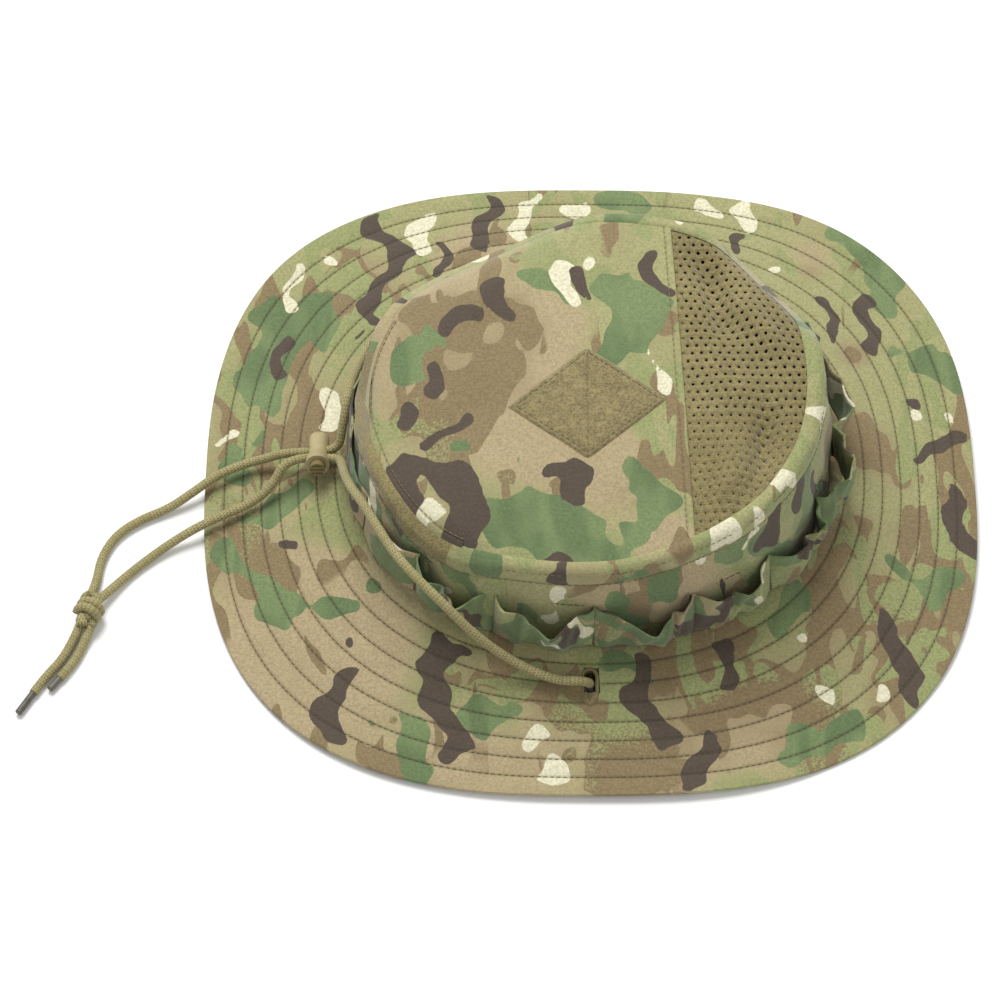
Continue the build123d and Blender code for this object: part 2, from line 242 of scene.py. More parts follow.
def unit(vectors):
    """Rows made one long."""
    return vectors / np.maximum(np.linalg.norm(vectors, axis=-1), 1e-9)[..., None]


def stitches(path, normals, spacing=2.6, length=2.25, radius=THREAD_RADIUS, closed=False):
    """Short arched threads along a path of points. Returns points and faces."""
    path, normals = np.asarray(path, float), np.asarray(normals, float)
    if closed:
        path, normals = np.vstack([path, path[:1]]), np.vstack([normals, normals[:1]])
    reach = distances(path)
    count = max(1, int(reach[-1] / spacing))
    starts = (np.arange(count) + 0.5) * reach[-1] / count - length / 2
    stations = np.linspace(0, 1, STITCH_STATIONS)
    at = (starts[:, None] + stations[None, :] * length).ravel()
    centre = interpolated(at, reach, path)
    up = unit(interpolated(at, reach, normals))
    nearby = 0.4
    along = unit(interpolated(at + nearby, reach, path) - interpolated(at - nearby, reach, path))
    side = np.cross(along, up)
    arch = np.tile(np.sin(math.pi * stations) ** 0.5, count)
    middle = centre + up * (radius * (1.5 * arch - 0.7))[:, None]
    wide = radius * (0.45 + 0.55 * arch)
    ring = []
    for corner in range(STITCH_SIDES):
        angle = TURN * corner / STITCH_SIDES
        across, rise = wide * math.cos(angle), wide * math.sin(angle)
        ring.append(middle + side * across[:, None] + up * rise[:, None])
    points = np.stack(ring, axis=1)
    size = STITCH_SIDES * STITCH_STATIONS
    tube = grid_faces(STITCH_STATIONS, STITCH_SIDES, True)
    tube += [tuple(range(STITCH_SIDES)), tuple(reversed(range(size - STITCH_SIDES, size)))]
    faces = []
    for first in range(0, count * size, size):
        faces += [tuple(first + index for index in face) for face in tube]
    return points.reshape(-1, 3), faces


def stitched_object(name, rows, finish, *nodes):
    """One piece from several rows of stitches, each a (path, normals, options) entry."""
    points, faces = [], []
    total = 0
    for path, normals, options in rows:
        row_points, row_faces = stitches(path, normals, **options)
        points.append(row_points)
        faces += [tuple(total + index for index in face) for face in row_faces]
        total += len(row_points)
    return give(mesh_object(name, np.vstack(points), faces), finish, *nodes)


# ---------------------------------------------------------------- cloth pattern
# Blobs in plan, each a chain of (x, y, radius) in millimetres.
BRIM_DARK = [
    [(-94, 133, 4), (-82, 115, 4), (-91, 89, 4), (-93, 73, 3)], [(-42, 146, 4), (-46, 115, 3)],
    [(-63, 121, 2), (-64, 103, 2)], [(-132, 69, 3), (-130, 51, 3)], [(-100, 70, 2)],
    [(-89, 53, 4), (-96, 32, 4)], [(104, 88, 3), (103, 67, 2)], [(122, 90, 4), (119, 61, 3)],
    [(137, 37, 3)], [(142, 9, 3), (157, 17, 4)], [(150, -12, 4), (156, -36, 6)],
    [(121, -72, 3), (123, -90, 5), (130, -104, 4)], [(51, -91, 4), (57, -107, 2)],
    [(19, -98, 4), (19, -112, 4), (26, -124, 6)], [(44, -130, 4), (42, -144, 6)],
    [(-66, -86, 4), (-62, -107, 5), (-56, -131, 6)], [(-56, -93, 3), (-66, -95, 3)],
    [(-100, -96, 4), (-107, -122, 6)], [(-98, -82, 2)], [(70, 126, 3), (64, 118, 2)],
    [(20, 112, 3), (10, 104, 2)], [(-122, -40, 2), (-128, -34, 2)],
]
BRIM_CREAM = [
    [(-67, 138, 4), (-75, 119, 4)], [(-26, 143, 4), (-27, 123, 3)], [(-5, 142, 6)],
    [(49, 141, 3), (57, 137, 3)], [(66, 144, 3), (74, 132, 3)], [(-114, 110, 3)],
    [(-126, 108, 2), (-127, 88, 3)], [(-111, 35, 4), (-110, 19, 4)], [(134, 31, 3)], [(78, 103, 3)],
    [(118, -108, 3)], [(97, -105, 4)], [(-26, -128, 4)], [(-14, -143, 6)], [(151, 26, 2)], [(-154, 18, 3)],
    [(84, -85, 2)],
]
BRIM_GREEN = [
    [(-130, 80, 11), (-144, 43, 10)], [(-151, -41, 6), (-119, -68, 7), (-95, -67, 5)],
    [(-115, 66, 6), (-111, 89, 5)], [(-78, -119, 7), (-69, -138, 8)], [(3, -94, 6), (19, -104, 4)],
    [(116, 130, 7), (129, 97, 8)], [(143, -56, 8), (127, -49, 5)], [(103, -117, 8), (82, -133, 8)],
    [(24, 140, 6), (7, 146, 4)], [(154, 50, 6), (134, 64, 4)], [(-147, 2, 6), (-139, 22, 4)],
    [(-46, -120, 5), (-30, -112, 4)], [(84, -68, 7), (76, -77, 4)], [(-125, -16, 4), (-141, -23, 5)],
]
TOP_DARK = [
    [(-59, 30, 5), (-50, 32, 4)], [(-38, 48, 4), (-38, 35, 5)], [(-62, 11, 4), (-65, 1, 4)],
    [(-65, -22, 2), (-52, -17, 3)], [(-77, -9, 4), (-76, -15, 4)],
    [(-66, -32, 4), (-55, -45, 8), (-49, -68, 6)], [(-74, -33, 4), (-79, -48, 5), (-71, -61, 4)],
    [(-19, -43, 3), (-8, -40, 4), (-10, -51, 5)], [(24, 57, 3), (27, 42, 4)], [(-4, 52, 3), (-3, 41, 3)],
    [(-19, -79, 2), (-11, -80, 3)],
]
TOP_CREAM = [
    [(-9, 52, 4), (-11, 37, 4)], [(1, 55, 3)], [(-71, -50, 3), (-66, -57, 4)], [(25, 10, 2), (28, -5, 2)],
]
TOP_GREEN = [
    [(-38, -54, 9), (-14, -66, 13), (13, -76, 7)], [(5, 46, 6), (19, 31, 8), (13, 13, 8)],
    [(22, -53, 9), (18, -44, 6)], [(-21, 51, 4), (-13, 40, 4)], [(-50, -28, 6), (-34, -35, 5)],
    [(-68, 23, 4), (-73, 9, 4)],
]


def scattered(count, width, height, smallest, largest):
    """Random short chains over a strip of cloth laid flat."""
    blobs = []
    for _ in range(count):
        x, y = rng.uniform(0, width), rng.uniform(0, height)
        radius = rng.uniform(smallest, largest)
        lean, reach = rng.uniform(-0.5, 0.5), rng.uniform(6, 18)
        blobs.append([(x, y, radius), (x + lean * reach, y + reach, radius * rng.uniform(0.5, 1.1))])
    return blobs


def warped(places):
    """Places pushed about smoothly, so that blobs of plain chains get uneven outlines."""
    x, y = places[:, 0], places[:, 1]
    across = 2.8 * np.sin(y / 6.3 + 0.6 * np.sin(x / 9.0)) + 1.3 * np.sin(y / 2.9 + x / 7.0)
    along = 2.4 * np.sin(x / 5.3 + 1.7) + 1.2 * np.sin(x / 2.7 + y / 5.0)
    return np.stack([x + across, y + along], axis=1)


def blob_field(places, blobs, blend=1.3):
    """Distance outside the nearest blob in millimetres, negative inside. Neighbours run together softly."""
    places = warped(np.asarray(places, float))
    total = np.zeros(len(places))
    for blob in blobs:
        for first, second in zip(blob, blob[1:] or blob):
            start = np.array(first[:2], float)
            along = np.array(second[:2], float) - start
            share = np.clip(((places - start) @ along) / max(along @ along, 1e-6), 0, 1)
            away = np.linalg.norm(places - start - share[:, None] * along, axis=1)
            total += np.exp(-np.minimum(away - (first[2] + (second[2] - first[2]) * share), 60) / blend)
    return -blend * np.log(total + 1e-12)


# Broad areas where the ground is tan instead of olive: (x, y, radius).
BRIM_WARM = [
    (-112, -85, 40), (-60, -135, 20), (10, -140, 40), (62, -118, 25), (-45, 98, 30), (126, -72, 18),
    (100, 112, 15), (150, -18, 12), (40, 120, 14),
]
BRIM_BROWN = [
    (8, -138, 30), (45, -128, 22), (126, -70, 13), (112, 58, 10), (96, 104, 10), (-48, 96, 16),
    (-137, 6, 12), (70, -102, 10), (-20, -108, 12),
]
TOP_BROWN = [(-20, 27, 9), (-60, 30, 11), (-30, 30, 9), (30, 24, 6), (-8, -18, 7), (-72, -8, 6)]
STRIP_BROWN = [(110, 30, 14), (260, 30, 12), (410, 40, 14), (540, 20, 12)]
TOP_WARM = [(-58, 26, 24), (-30, -8, 28), (-15, 28, 14), (8, -34, 18), (30, -72, 12)]
STRIP_WARM = [(60, 30, 30), (190, 40, 30), (330, 20, 36), (470, 40, 30)]


def area_field(places, areas):
    """1 in the middle of the areas and 0 away from them."""
    total = np.zeros(len(places))
    for x, y, radius in areas:
        total += np.exp(-(((places[:, 0] - x) ** 2 + (places[:, 1] - y) ** 2) / radius**2))
    return np.clip(total, 0, 1)


STRIP_LENGTH, STRIP_REACH = 590.0, 70.0
STRIP_DARK = scattered(34, STRIP_LENGTH, STRIP_REACH, 2.5, 5.5)
STRIP_CREAM = scattered(30, STRIP_LENGTH, STRIP_REACH, 2.0, 4.0)
STRIP_GREEN = scattered(40, STRIP_LENGTH, STRIP_REACH, 5.0, 10.0)


def paint(piece, places, dark, cream, green, warm, brown):
    """Stores where the pattern's blobs and its tan and brown areas are."""
    for name, blobs in (("dark", dark), ("cream", cream), ("green", green)):
        add_field(piece, name, blob_field(places, blobs))
    for name, areas in (("warm", warm), ("brown", brown)):
        add_field(piece, name, area_field(places, areas))


def paint_brim(piece, places):
    paint(piece, places, BRIM_DARK, BRIM_CREAM, BRIM_GREEN, BRIM_WARM, BRIM_BROWN)


def paint_top(piece, places):
    paint(piece, places, TOP_DARK, TOP_CREAM, TOP_GREEN, TOP_WARM, TOP_BROWN)


def paint_strip(piece, turns, heights, shift=0.0):
    """Pattern on cloth that runs round the crown."""
    along = np.mod(turns / TURN * STRIP_LENGTH + shift, STRIP_LENGTH)
    places = np.stack([along.ravel(), np.asarray(heights).ravel()], axis=1)
    paint(piece, places, STRIP_DARK, STRIP_CREAM, STRIP_GREEN, STRIP_WARM, STRIP_BROWN)


# Blobs on the crown's edge band: (degrees round from the front, depth down the band, radius).
EDGE_DARK = [(-97, 7, 3), (-128, 3, 3), (40, 5, 3), (96, 4, 4), (150, 5, 3)]
EDGE_CREAM = [(-57, 4, 5), (-45, 5, 4), (-34, 3, 4), (-9, 6, 5), (70, 4, 4), (120, 6, 3)]
EDGE_GREEN = [(-115, 4, 8), (-80, 8, 6), (20, 4, 8), (84, 4, 8), (170, 4, 9)]


def edge_places(blobs):
    """The same blobs as chains in millimetres along and down the band."""
    chains = []
    for degrees, depth, radius in blobs:
        along = math.radians(degrees % 360) * STRIP_LENGTH / TURN
        chains.append([(along - 2.0, depth - 1.0, radius), (along + 2.0, depth + 1.5, radius * 0.7)])
    return chains


def paint_edge(piece, turns, depth):
    """Pattern on the crown's edge band."""
    places = np.stack([np.mod(turns, TURN) * STRIP_LENGTH / TURN, depth], axis=1)
    blobs = [edge_places(group) for group in (EDGE_DARK, EDGE_CREAM, EDGE_GREEN)]
    paint(piece, places, *blobs, STRIP_WARM, STRIP_BROWN)


# ---------------------------------------------------------------- materials
def linear(red, green, blue):
    """Linear colour of an sRGB one given from 0 to 255."""
    channels = []
    for value in (red, green, blue):
        value /= 255
        channels.append(value / 12.92 if value <= 0.04045 else ((value + 0.055) / 1.055) ** 2.4)
    return (*channels, 1.0)


class Shader:
    """Short names for building a node material."""

    def __init__(self, name, roughness=0.85):
        self.material = bpy.data.materials.new(name)
        self.material.use_nodes = True
        self.tree = self.material.node_tree
        self.surface = self.tree.nodes["Principled BSDF"]
        self.surface.inputs["Roughness"].default_value = roughness
        self.place = self.tree.nodes.new("ShaderNodeTexCoord").outputs["Object"]

    def put(self, value, socket):
        """Links an output, or sets a number or colour."""
        if isinstance(value, bpy.types.NodeSocket):
            self.tree.links.new(value, socket)
        else:
            socket.default_value = value

    def math(self, kind, first, second):
        node = self.tree.nodes.new("ShaderNodeMath")
        node.operation = kind
        self.put(first, node.inputs[0])
        self.put(second, node.inputs[1])
        return node.outputs[0]

    def add(self, first, second):
        return self.math("ADD", first, second)

    def times(self, first, second):
        return self.math("MULTIPLY", first, second)

    def about_zero(self, value, gain):
        """A share from 0 to 1 moved to lie about zero, and scaled."""
        return self.times(self.math("SUBTRACT", value, 0.5), gain)

    def scaled(self, x, y, z):
        node = self.tree.nodes.new("ShaderNodeMapping")
        self.put(self.place, node.inputs["Vector"])
        node.inputs["Scale"].default_value = (x, y, z)
        return node.outputs[0]

    def noise(self, scale, detail=2.0, place=None, distortion=0.0, roughness=0.5):
        node = self.tree.nodes.new("ShaderNodeTexNoise")
        self.put(place or self.place, node.inputs["Vector"])
        node.inputs["Scale"].default_value = scale
        node.inputs["Detail"].default_value = detail
        node.inputs["Distortion"].default_value = distortion
        node.inputs["Roughness"].default_value = roughness
        return node.outputs["Fac"]

    def wave(self, scale, direction, distortion):
        node = self.tree.nodes.new("ShaderNodeTexWave")
        self.put(self.place, node.inputs["Vector"])
        node.bands_direction = direction
        node.inputs["Scale"].default_value = scale
        node.inputs["Distortion"].default_value = distortion
        return node.outputs["Fac"]

    def field(self, name):
        node = self.tree.nodes.new("ShaderNodeAttribute")
        node.attribute_name = name
        return node.outputs["Fac"]

    def step(self, value, low, high):
        """0 below low and 1 above high, with a smooth rise between them."""
        node = self.tree.nodes.new("ShaderNodeMapRange")
        node.interpolation_type = "SMOOTHSTEP"
        self.put(value, node.inputs["Value"])
        node.inputs["From Min"].default_value = low
        node.inputs["From Max"].default_value = high
        return node.outputs["Result"]

    def mix(self, share, first, second, kind="MIX"):
        node = self.tree.nodes.new("ShaderNodeMix")
        node.data_type = "RGBA"
        node.blend_type = kind
        self.put(share, node.inputs["Factor"])
        self.put(first, node.inputs[6])
        self.put(second, node.inputs[7])
        return node.outputs[2]

    def bump(self, height, distance, strength=1.0, under=None):
        node = self.tree.nodes.new("ShaderNodeBump")
        node.inputs["Strength"].default_value = strength
        node.inputs["Distance"].default_value = distance
        self.put(height, node.inputs["Height"])
        if under is not None:
            self.put(under, node.inputs["Normal"])
        return node.outputs["Normal"]

    def done(self, colour, normal=None, roughness=None):
        self.put(colour, self.surface.inputs["Base Color"])
        if normal is not None:
            self.put(normal, self.surface.inputs["Normal"])
        if roughness is not None:
            self.put(roughness, self.surface.inputs["Roughness"])
        return self.material


TAN = linear(172, 155, 118)
WARM_BROWN = linear(134, 116, 80)
PALE_OLIVE = linear(158, 156, 106)
YELLOW_GREEN = linear(146, 151, 98)
MID_GREEN = linear(116, 134, 86)
DEEP_GREEN = linear(98, 118, 74)
DARK_BROWN = linear(80, 67, 54)
CREAM = linear(222, 217, 186)
DUSTY_BROWN = linear(154, 137, 100)
WHITE = linear(255, 255, 255)
PATCH_OLIVE = linear(148, 134, 90)
CORD_OLIVE = linear(152, 143, 96)
# painted shade for the valleys between the cord's strands
CORD_PAINTED_SHADE = linear(120, 109, 66)
THREAD = linear(88, 78, 52)


def weave(shader, pitch):
    """Fine crossed threads: a height and a speckle of brightness."""
    scale = TURN / 2 / (pitch * MM) / 10
    warp = shader.wave(scale, "X", 0.4)
    weft = shader.wave(scale, "Y", 0.4)
    grain = shader.noise(1.0 / (1.1 * MM), 3.0, roughness=0.7)
    return shader.add(shader.times(warp, weft), grain), grain


def camouflage(name):
    """Printed cloth: soft tan, brown and olive grounds, green shapes, and crisp dark and cream blobs, with
    painted shade darkening the brim's stitched grooves.
    """
    shader = Shader(name, 0.9)
    height, grain = weave(shader, 0.75)
    stretched = shader.scaled(1.0, 0.62, 0.8)
    wide = shader.noise(11.0, 1.5, stretched, 0.4)
    drift = shader.noise(19.0, 2.0, shader.scaled(0.9, 0.6, 1.3), 0.8)
    leaf = shader.noise(42.0, 1.0, stretched, 0.9)
    twig = shader.noise(30.0, 0.5, shader.scaled(1.7, 0.55, 1.0), 1.6)
    edge = shader.noise(110.0, 1.0)
    stipple = shader.about_zero(grain, 0.30)
    leaning = shader.times(shader.math("SUBTRACT", 0.45, shader.field("warm")), 0.32)
    olive = shader.add(shader.add(wide, leaning), stipple)
    leaned_brown = shader.add(drift, shader.times(shader.field("brown"), 0.22))
    browned = shader.add(leaned_brown, stipple)
    ground = shader.mix(shader.step(olive, 0.40, 0.60), TAN, PALE_OLIVE)
    ground = shader.mix(shader.step(browned, 0.50, 0.70), ground, DUSTY_BROWN)
    clear_brown = shader.add(leaned_brown, shader.about_zero(leaf, 0.5))
    ground = shader.mix(shader.step(clear_brown, 0.585, 0.592), ground, WARM_BROWN)
    leafy = shader.times(shader.step(leaf, 0.530, 0.540), shader.step(olive, 0.44, 0.54))
    ground = shader.mix(leafy, ground, YELLOW_GREEN)
    twigs = shader.times(shader.step(twig, 0.615, 0.620), shader.step(drift, 0.40, 0.46))
    ground = shader.mix(twigs, ground, WARM_BROWN)
    green = shader.mix(shader.step(shader.add(twig, stipple), 0.40, 0.62), MID_GREEN, DEEP_GREEN)
    wiggle = shader.about_zero(edge, 5.0)
    shapes = (
        ("green", shader.about_zero(leaf, 26.0), 0.25, green),
        ("cream", wiggle, 0.2, CREAM),
        ("dark", wiggle, 0.2, DARK_BROWN),
    )
    for field, unevenness, softness, colour in shapes:
        outside = shader.add(shader.field(field), unevenness)
        ground = shader.mix(shader.step(outside, softness, -softness), ground, colour)
    speckle = shader.mix(shader.step(grain, 0.35, 0.65), linear(222, 222, 222), WHITE)
    colour = shader.mix(1.0, ground, speckle, "MULTIPLY")
    # painted shade: darkens the cloth along the brim's stitched grooves
    shade = shader.mix(shader.field("groove"), WHITE, linear(204, 199, 188))
    colour = shader.mix(1.0, colour, shade, "MULTIPLY")
    crumple = shader.noise(60.0, 3.0, roughness=0.6)
    soft = shader.bump(crumple, 0.0011, 0.5)
    normal = shader.bump(height, 0.00012, 0.6, soft)
    shader.surface.inputs["Sheen Weight"].default_value = 0.15
    shader.surface.inputs["Sheen Roughness"].default_value = 0.6
    return shader.done(colour, normal)


def plain_cloth(name, colour, shade, pitch):
    """One-colour cloth with a visible weave and slightly uneven dye."""
    shader = Shader(name, 0.92)
    height, grain = weave(shader, pitch)
    blotch = shader.noise(45.0, 3.0)
    mixed = shader.mix(shader.step(blotch, 0.3, 0.7), colour, shade)
    speckle = shader.mix(shader.step(grain, 0.35, 0.65), linear(206, 206, 206), WHITE)
    coloured = shader.mix(1.0, mixed, speckle, "MULTIPLY")
    crumple = shader.noise(70.0, 3.0)
    normal = shader.bump(height, 0.00014, 0.8, shader.bump(crumple, 0.0008, 0.4))
    shader.surface.inputs["Sheen Weight"].default_value = 0.2
    return shader.done(coloured, normal)


def thread(name, colour):
    """Twisted sewing thread."""
    shader = Shader(name, 0.6)
    twist = shader.noise(1400.0, 1.0)
    shade = (*(0.7 * value for value in colour[:3]), 1.0)
    mixed = shader.mix(shader.step(twist, 0.3, 0.7), colour, shade)
    return shader.done(mixed, shader.bump(twist, 0.00008, 0.6))


def pile(name):
    """Loop pile of a patch: fuzzy, uneven and matt."""
    shader = Shader(name, 1.0)
    fuzz = shader.noise(900.0, 4.0, roughness=0.8)
    clump = shader.noise(260.0, 3.0, roughness=0.7)
    mixed = shader.mix(shader.step(fuzz, 0.35, 0.65), linear(104, 94, 60), PATCH_OLIVE)
    mixed = shader.mix(shader.step(clump, 0.45, 0.75), mixed, linear(154, 140, 94))
    normal = shader.bump(fuzz, 0.0006, 1.0, shader.bump(clump, 0.0008, 0.7))
    shader.surface.inputs["Sheen Weight"].default_value = 0.4
    return shader.done(mixed, normal)


def braided(name):
    """Cord sheath: pale on the crowns of its strands, with painted shade darkening it between them."""
    shader = Shader(name, 0.75)
    relief = shader.field("relief")
    fibre = shader.noise(1500.0, 2.0, roughness=0.7)
    blotch = shader.noise(80.0, 2.0)
    crown = shader.mix(shader.step(blotch, 0.3, 0.7), CORD_OLIVE, linear(162, 154, 108))
    # painted shade: the darker colour fills the valleys between the braid's strands
    mixed = shader.mix(shader.step(relief, 0.15, 0.75), CORD_PAINTED_SHADE, crown)
    normal = shader.bump(fibre, 0.00012, 0.7)
    shader.surface.inputs["Sheen Weight"].default_value = 0.15
    return shader.done(mixed, normal)


def moulded(name, colour, shade):
    """Moulded plastic with a fine spark-eroded grain and a blotchy tone."""
    shader = Shader(name, 0.45)
    grain = shader.noise(2600.0, 2.0)
    blotch = shader.noise(160.0, 2.0)
    mixed = shader.mix(shader.step(blotch, 0.35, 0.7), colour, shade)
    shine = shader.add(shader.times(blotch, 0.25), 0.34)
    return shader.done(mixed, shader.bump(grain, 0.00003, 0.6), shine)


def wire(name):
    """Drawn spring steel."""
    shader = Shader(name, 0.3)
    shader.surface.inputs["Metallic"].default_value = 1.0
    scratch = shader.noise(900.0, 2.0, shader.scaled(1.0, 1.0, 6.0))
    mixed = shader.mix(scratch, linear(150, 150, 152), linear(196, 196, 198))
    return shader.done(mixed, shader.bump(scratch, 0.00002, 0.5))


# Finishes: a material and the slot it fills.
CAMO = camouflage("camouflage_cloth"), "camouflage_cloth"
MESH_CLOTH = plain_cloth("olive_mesh", linear(146, 134, 88), linear(132, 120, 76), 1.1), "olive_mesh"
SWEAT_OLIVE, SWEAT_SHADE = linear(128, 118, 84), linear(116, 104, 72)
SWEAT_CLOTH = plain_cloth("sweatband_cloth", SWEAT_OLIVE, SWEAT_SHADE, 1.4), "sweatband_cloth"
TAPE_CLOTH = plain_cloth("binding_tape", linear(136, 124, 88), linear(122, 112, 78), 1.2), "binding_tape"
THREAD_DARK = thread("stitching_dark", THREAD), "stitching"
THREAD_OLIVE = thread("stitching_olive", linear(132, 118, 78)), "stitching"
PILE = pile("loop_pile"), "loop_pile"
BRAID = braided("cord"), "cord"
LOCK_TAN = moulded("lock_body", linear(166, 154, 112), linear(150, 138, 98)), "lock_plastic"
BUTTON_OLIVE = moulded("lock_button", linear(120, 106, 64), linear(104, 92, 54)), "lock_plastic"
AGLET_DARK = moulded("aglet", linear(92, 88, 76), linear(70, 64, 52)), "aglet_plastic"
SPRING_WIRE = wire("spring_steel"), "spring_steel"


# ---------------------------------------------------------------- brim
def brim_plan(turn, share):
    """Plan points between the head opening at share 0 and the rim at share 1."""
    half_length = HEAD_LENGTH - WALL_CLOTH + share * BRIM_WIDTH
    half_width = HEAD_WIDTH - WALL_CLOTH + share * (RIM_WIDTH - HEAD_WIDTH + WALL_CLOTH)
    power = HEAD_POWER + share * (RIM_POWER - HEAD_POWER)
    return superellipse(half_length, half_width, power, turn)


def brim_wave(turn, share):
    """The brim's gentle unevenness: nothing at the crown, most at the rim."""
    lift = 0.9 + 0.8 * np.sin(3 * turn + 0.9) + 0.5 * np.sin(5 * turn + 2.4) + 0.3 * np.sin(8 * turn)
    return np.maximum(lift, 0.0) * share**3 * 1.3 + 0.5 * np.sin(6 * turn + 1.0) * share * (1 - share)


def brim_underside(turn, share):
    """Height of the brim's lower face."""
    rise = (1 - share) * BRIM_WIDTH / (BRIM_WIDTH - RIM_HEM) - RIM_HEM / (BRIM_WIDTH - RIM_HEM)
    rise = 0.5 * (rise + np.sqrt(rise**2 + BRIM_ROUNDING**2))
    return BRIM_SLOPE * rise + BRIM_CURVE * rise**2 + brim_wave(turn, share)


ROW_SHARES = [1 - (FIRST_ROW + ROW_PITCH * row) / BRIM_WIDTH for row in range(STITCH_ROWS)]
ROW_EDGES = [1.0, *ROW_SHARES, 0.0]


def quilting(share):
    """Puffed channels between the rows of stitching, and a groove along each row."""
    puff = np.zeros_like(share)
    for outer, inner in zip(ROW_EDGES, ROW_EDGES[1:]):
        place = np.clip((share - inner) / (outer - inner), 0, 1)
        puff = np.maximum(puff, np.sin(math.pi * place) ** 0.6)
    return puff


def painted_groove_shade(share):
    """1 in the bottom of each stitched groove and 0 beside it: where painted shade darkens the brim's cloth.
    """
    depth = np.zeros_like(share)
    for row_share in ROW_SHARES:
        depth = np.maximum(depth, np.exp(-(((share - row_share) * (RIM_LENGTH - HEAD_LENGTH) / 0.45) ** 2)))
    return depth


def brim_top_point(turn, share):
    """Points of the brim's upper face."""
    turn, share = np.broadcast_arrays(np.asarray(turn, float), np.asarray(share, float))
    plan = brim_plan(turn, share)
    ripple = 0.16 * np.sin(31 * turn + 9 * share) * quilting(share)
    height = brim_underside(turn, share) + BRIM_THICKNESS - 0.25 + 0.5 * quilting(share) + ripple
    return np.concatenate([plan, height[..., None]], axis=-1)


def brim_low_point(turn, share):
    """Points of the brim's lower face."""
    turn, share = np.broadcast_arrays(np.asarray(turn, float), np.asarray(share, float))
    plan = brim_plan(turn, share)
    height = brim_underside(turn, share) + 0.25 * (1 - quilting(share))
    return np.concatenate([plan, height[..., None]], axis=-1)


def radial_stations():
    """Shares across the brim, closer together beside each row of stitching."""
    stations = {0.0}
    for row in ROW_SHARES:
        stations |= {row + step / BRIM_WIDTH for step in (-1.7, -0.9, -0.35, 0.0, 0.35, 0.9, 1.7)}
    for outer, inner in zip(ROW_EDGES, ROW_EDGES[1:]):
        stations |= {inner + (outer - inner) * step for step in (0.36, 0.5, 0.64)}
    stations |= {1 - step / BRIM_WIDTH for step in (0.5, 1.2, 2.4)}
    return np.array(sorted(share for share in stations if 0 <= share < 1))


def slit_frame(x, y):
    """Distances from a buttonhole's middle, whichever side it is on."""
    return x - SLIT_X, np.abs(y) - SLIT_Y


def make_brim():
    """The whole brim as one closed mesh with its two buttonhole slits."""
    turns = np.linspace(0, TURN, BRIM_TURNS, endpoint=False)
    stations = radial_stations()
    top = np.stack([brim_top_point(turns, share) for share in stations])
    low = np.stack([brim_low_point(turns, share) for share in stations])
    edge = []
    for angle in (60, 30, 0, -30, -60):
        plan = brim_plan(turns, np.full(BRIM_TURNS, 0.9965 + 0.0035 * math.cos(math.radians(angle))))
        middle = brim_underside(turns, np.ones(BRIM_TURNS)) + BRIM_THICKNESS / 2
        height = middle + 0.5 * BRIM_THICKNESS * math.sin(math.radians(angle))
        edge.append(np.concatenate([plan, height[:, None]], axis=1))
    rows = np.concatenate([top, np.stack(edge), low[::-1]])
    points = rows.reshape(-1, 3)
    faces = grid_faces(len(rows), BRIM_TURNS, True)
    last = (len(rows) - 1) * BRIM_TURNS
    for column in range(BRIM_TURNS):
        beside = (column + 1) % BRIM_TURNS
        faces.append((last + column, last + beside, beside, column))
    across, along = slit_frame(points[:, 0], points[:, 1])
    inside = (np.abs(across) < SLIT_GAP / 2) & (along > -SLIT_LENGTH / 2) & (along < SLIT_OPEN)
    kept = [face for face in faces if not inside[list(face)].any()]
    piece = mesh_object("brim_cloth", points, kept)
    paint_brim(piece, points[:, :2])
    shares = np.concatenate([stations, np.ones(5), stations[::-1]])
    # painted shade along the stitched grooves, which the cloth's material reads
    add_field(piece, "groove", np.repeat(painted_groove_shade(shares), BRIM_TURNS))
    give(piece, CAMO, "brim_top", "brim_interlining", "brim_underside")
    bm = bmesh.new()
    bm.from_mesh(piece.data)
    loose = [vertex for vertex in bm.verts if not vertex.link_faces]
    bmesh.ops.delete(bm, geom=loose, context="VERTS")
    bm.to_mesh(piece.data)
    bm.free()


def make_brim_stitching():
    """Rows of stitches round the brim, above and below."""
    turns = np.linspace(0, TURN, 1440, endpoint=False)
    faces = (("brim_stitches_top", brim_top_point, 1.0), ("brim_stitches_low", brim_low_point, -1.0))
    for name, point, upward in faces:
        rows = []
        for share in [*ROW_SHARES, 0.035]:
            path = point(turns, share)
            normals = np.tile([0.0, 0.0, upward], (len(turns), 1))
            across, along = slit_frame(path[:, 0], path[:, 1])
            near_slit = (np.abs(across) < SLIT_GAP / 2 + 3.2) & (np.abs(along) < SLIT_LENGTH / 2 + 3.2)
            if near_slit.any():
                order = np.argsort(turns)
                breaks = np.flatnonzero(np.diff(near_slit.astype(int)))
                runs = np.split(order, breaks + 1)
                kept = [run for run in runs if not near_slit[run].any()]
                joined = [np.concatenate([kept[-1], kept[0]]), *kept[1:-1]] if len(kept) > 2 else kept
                rows += [(path[run], normals[run], {}) for run in joined]
            else:
                rows.append((path, normals, {"closed": True}))
        stitched_object(name, rows, THREAD_DARK)


def make_buttonholes():
    """Satin stitching round each slit, on both faces of the brim."""
    half = (SLIT_LENGTH - SLIT_GAP) / 2
    for node, side in (("buttonhole_right", -1), ("buttonhole_left", 1)):
        bars = []
        for face in (1, -1):
            for share in np.linspace(0, 1, 92, endpoint=False):
                bars.append(slit_bar(share, half, SLIT_GAP / 2 - 0.2, SLIT_GAP / 2 + 1.3, side, face))
        stitched_object(node + "_satin", bars, THREAD_OLIVE, node)


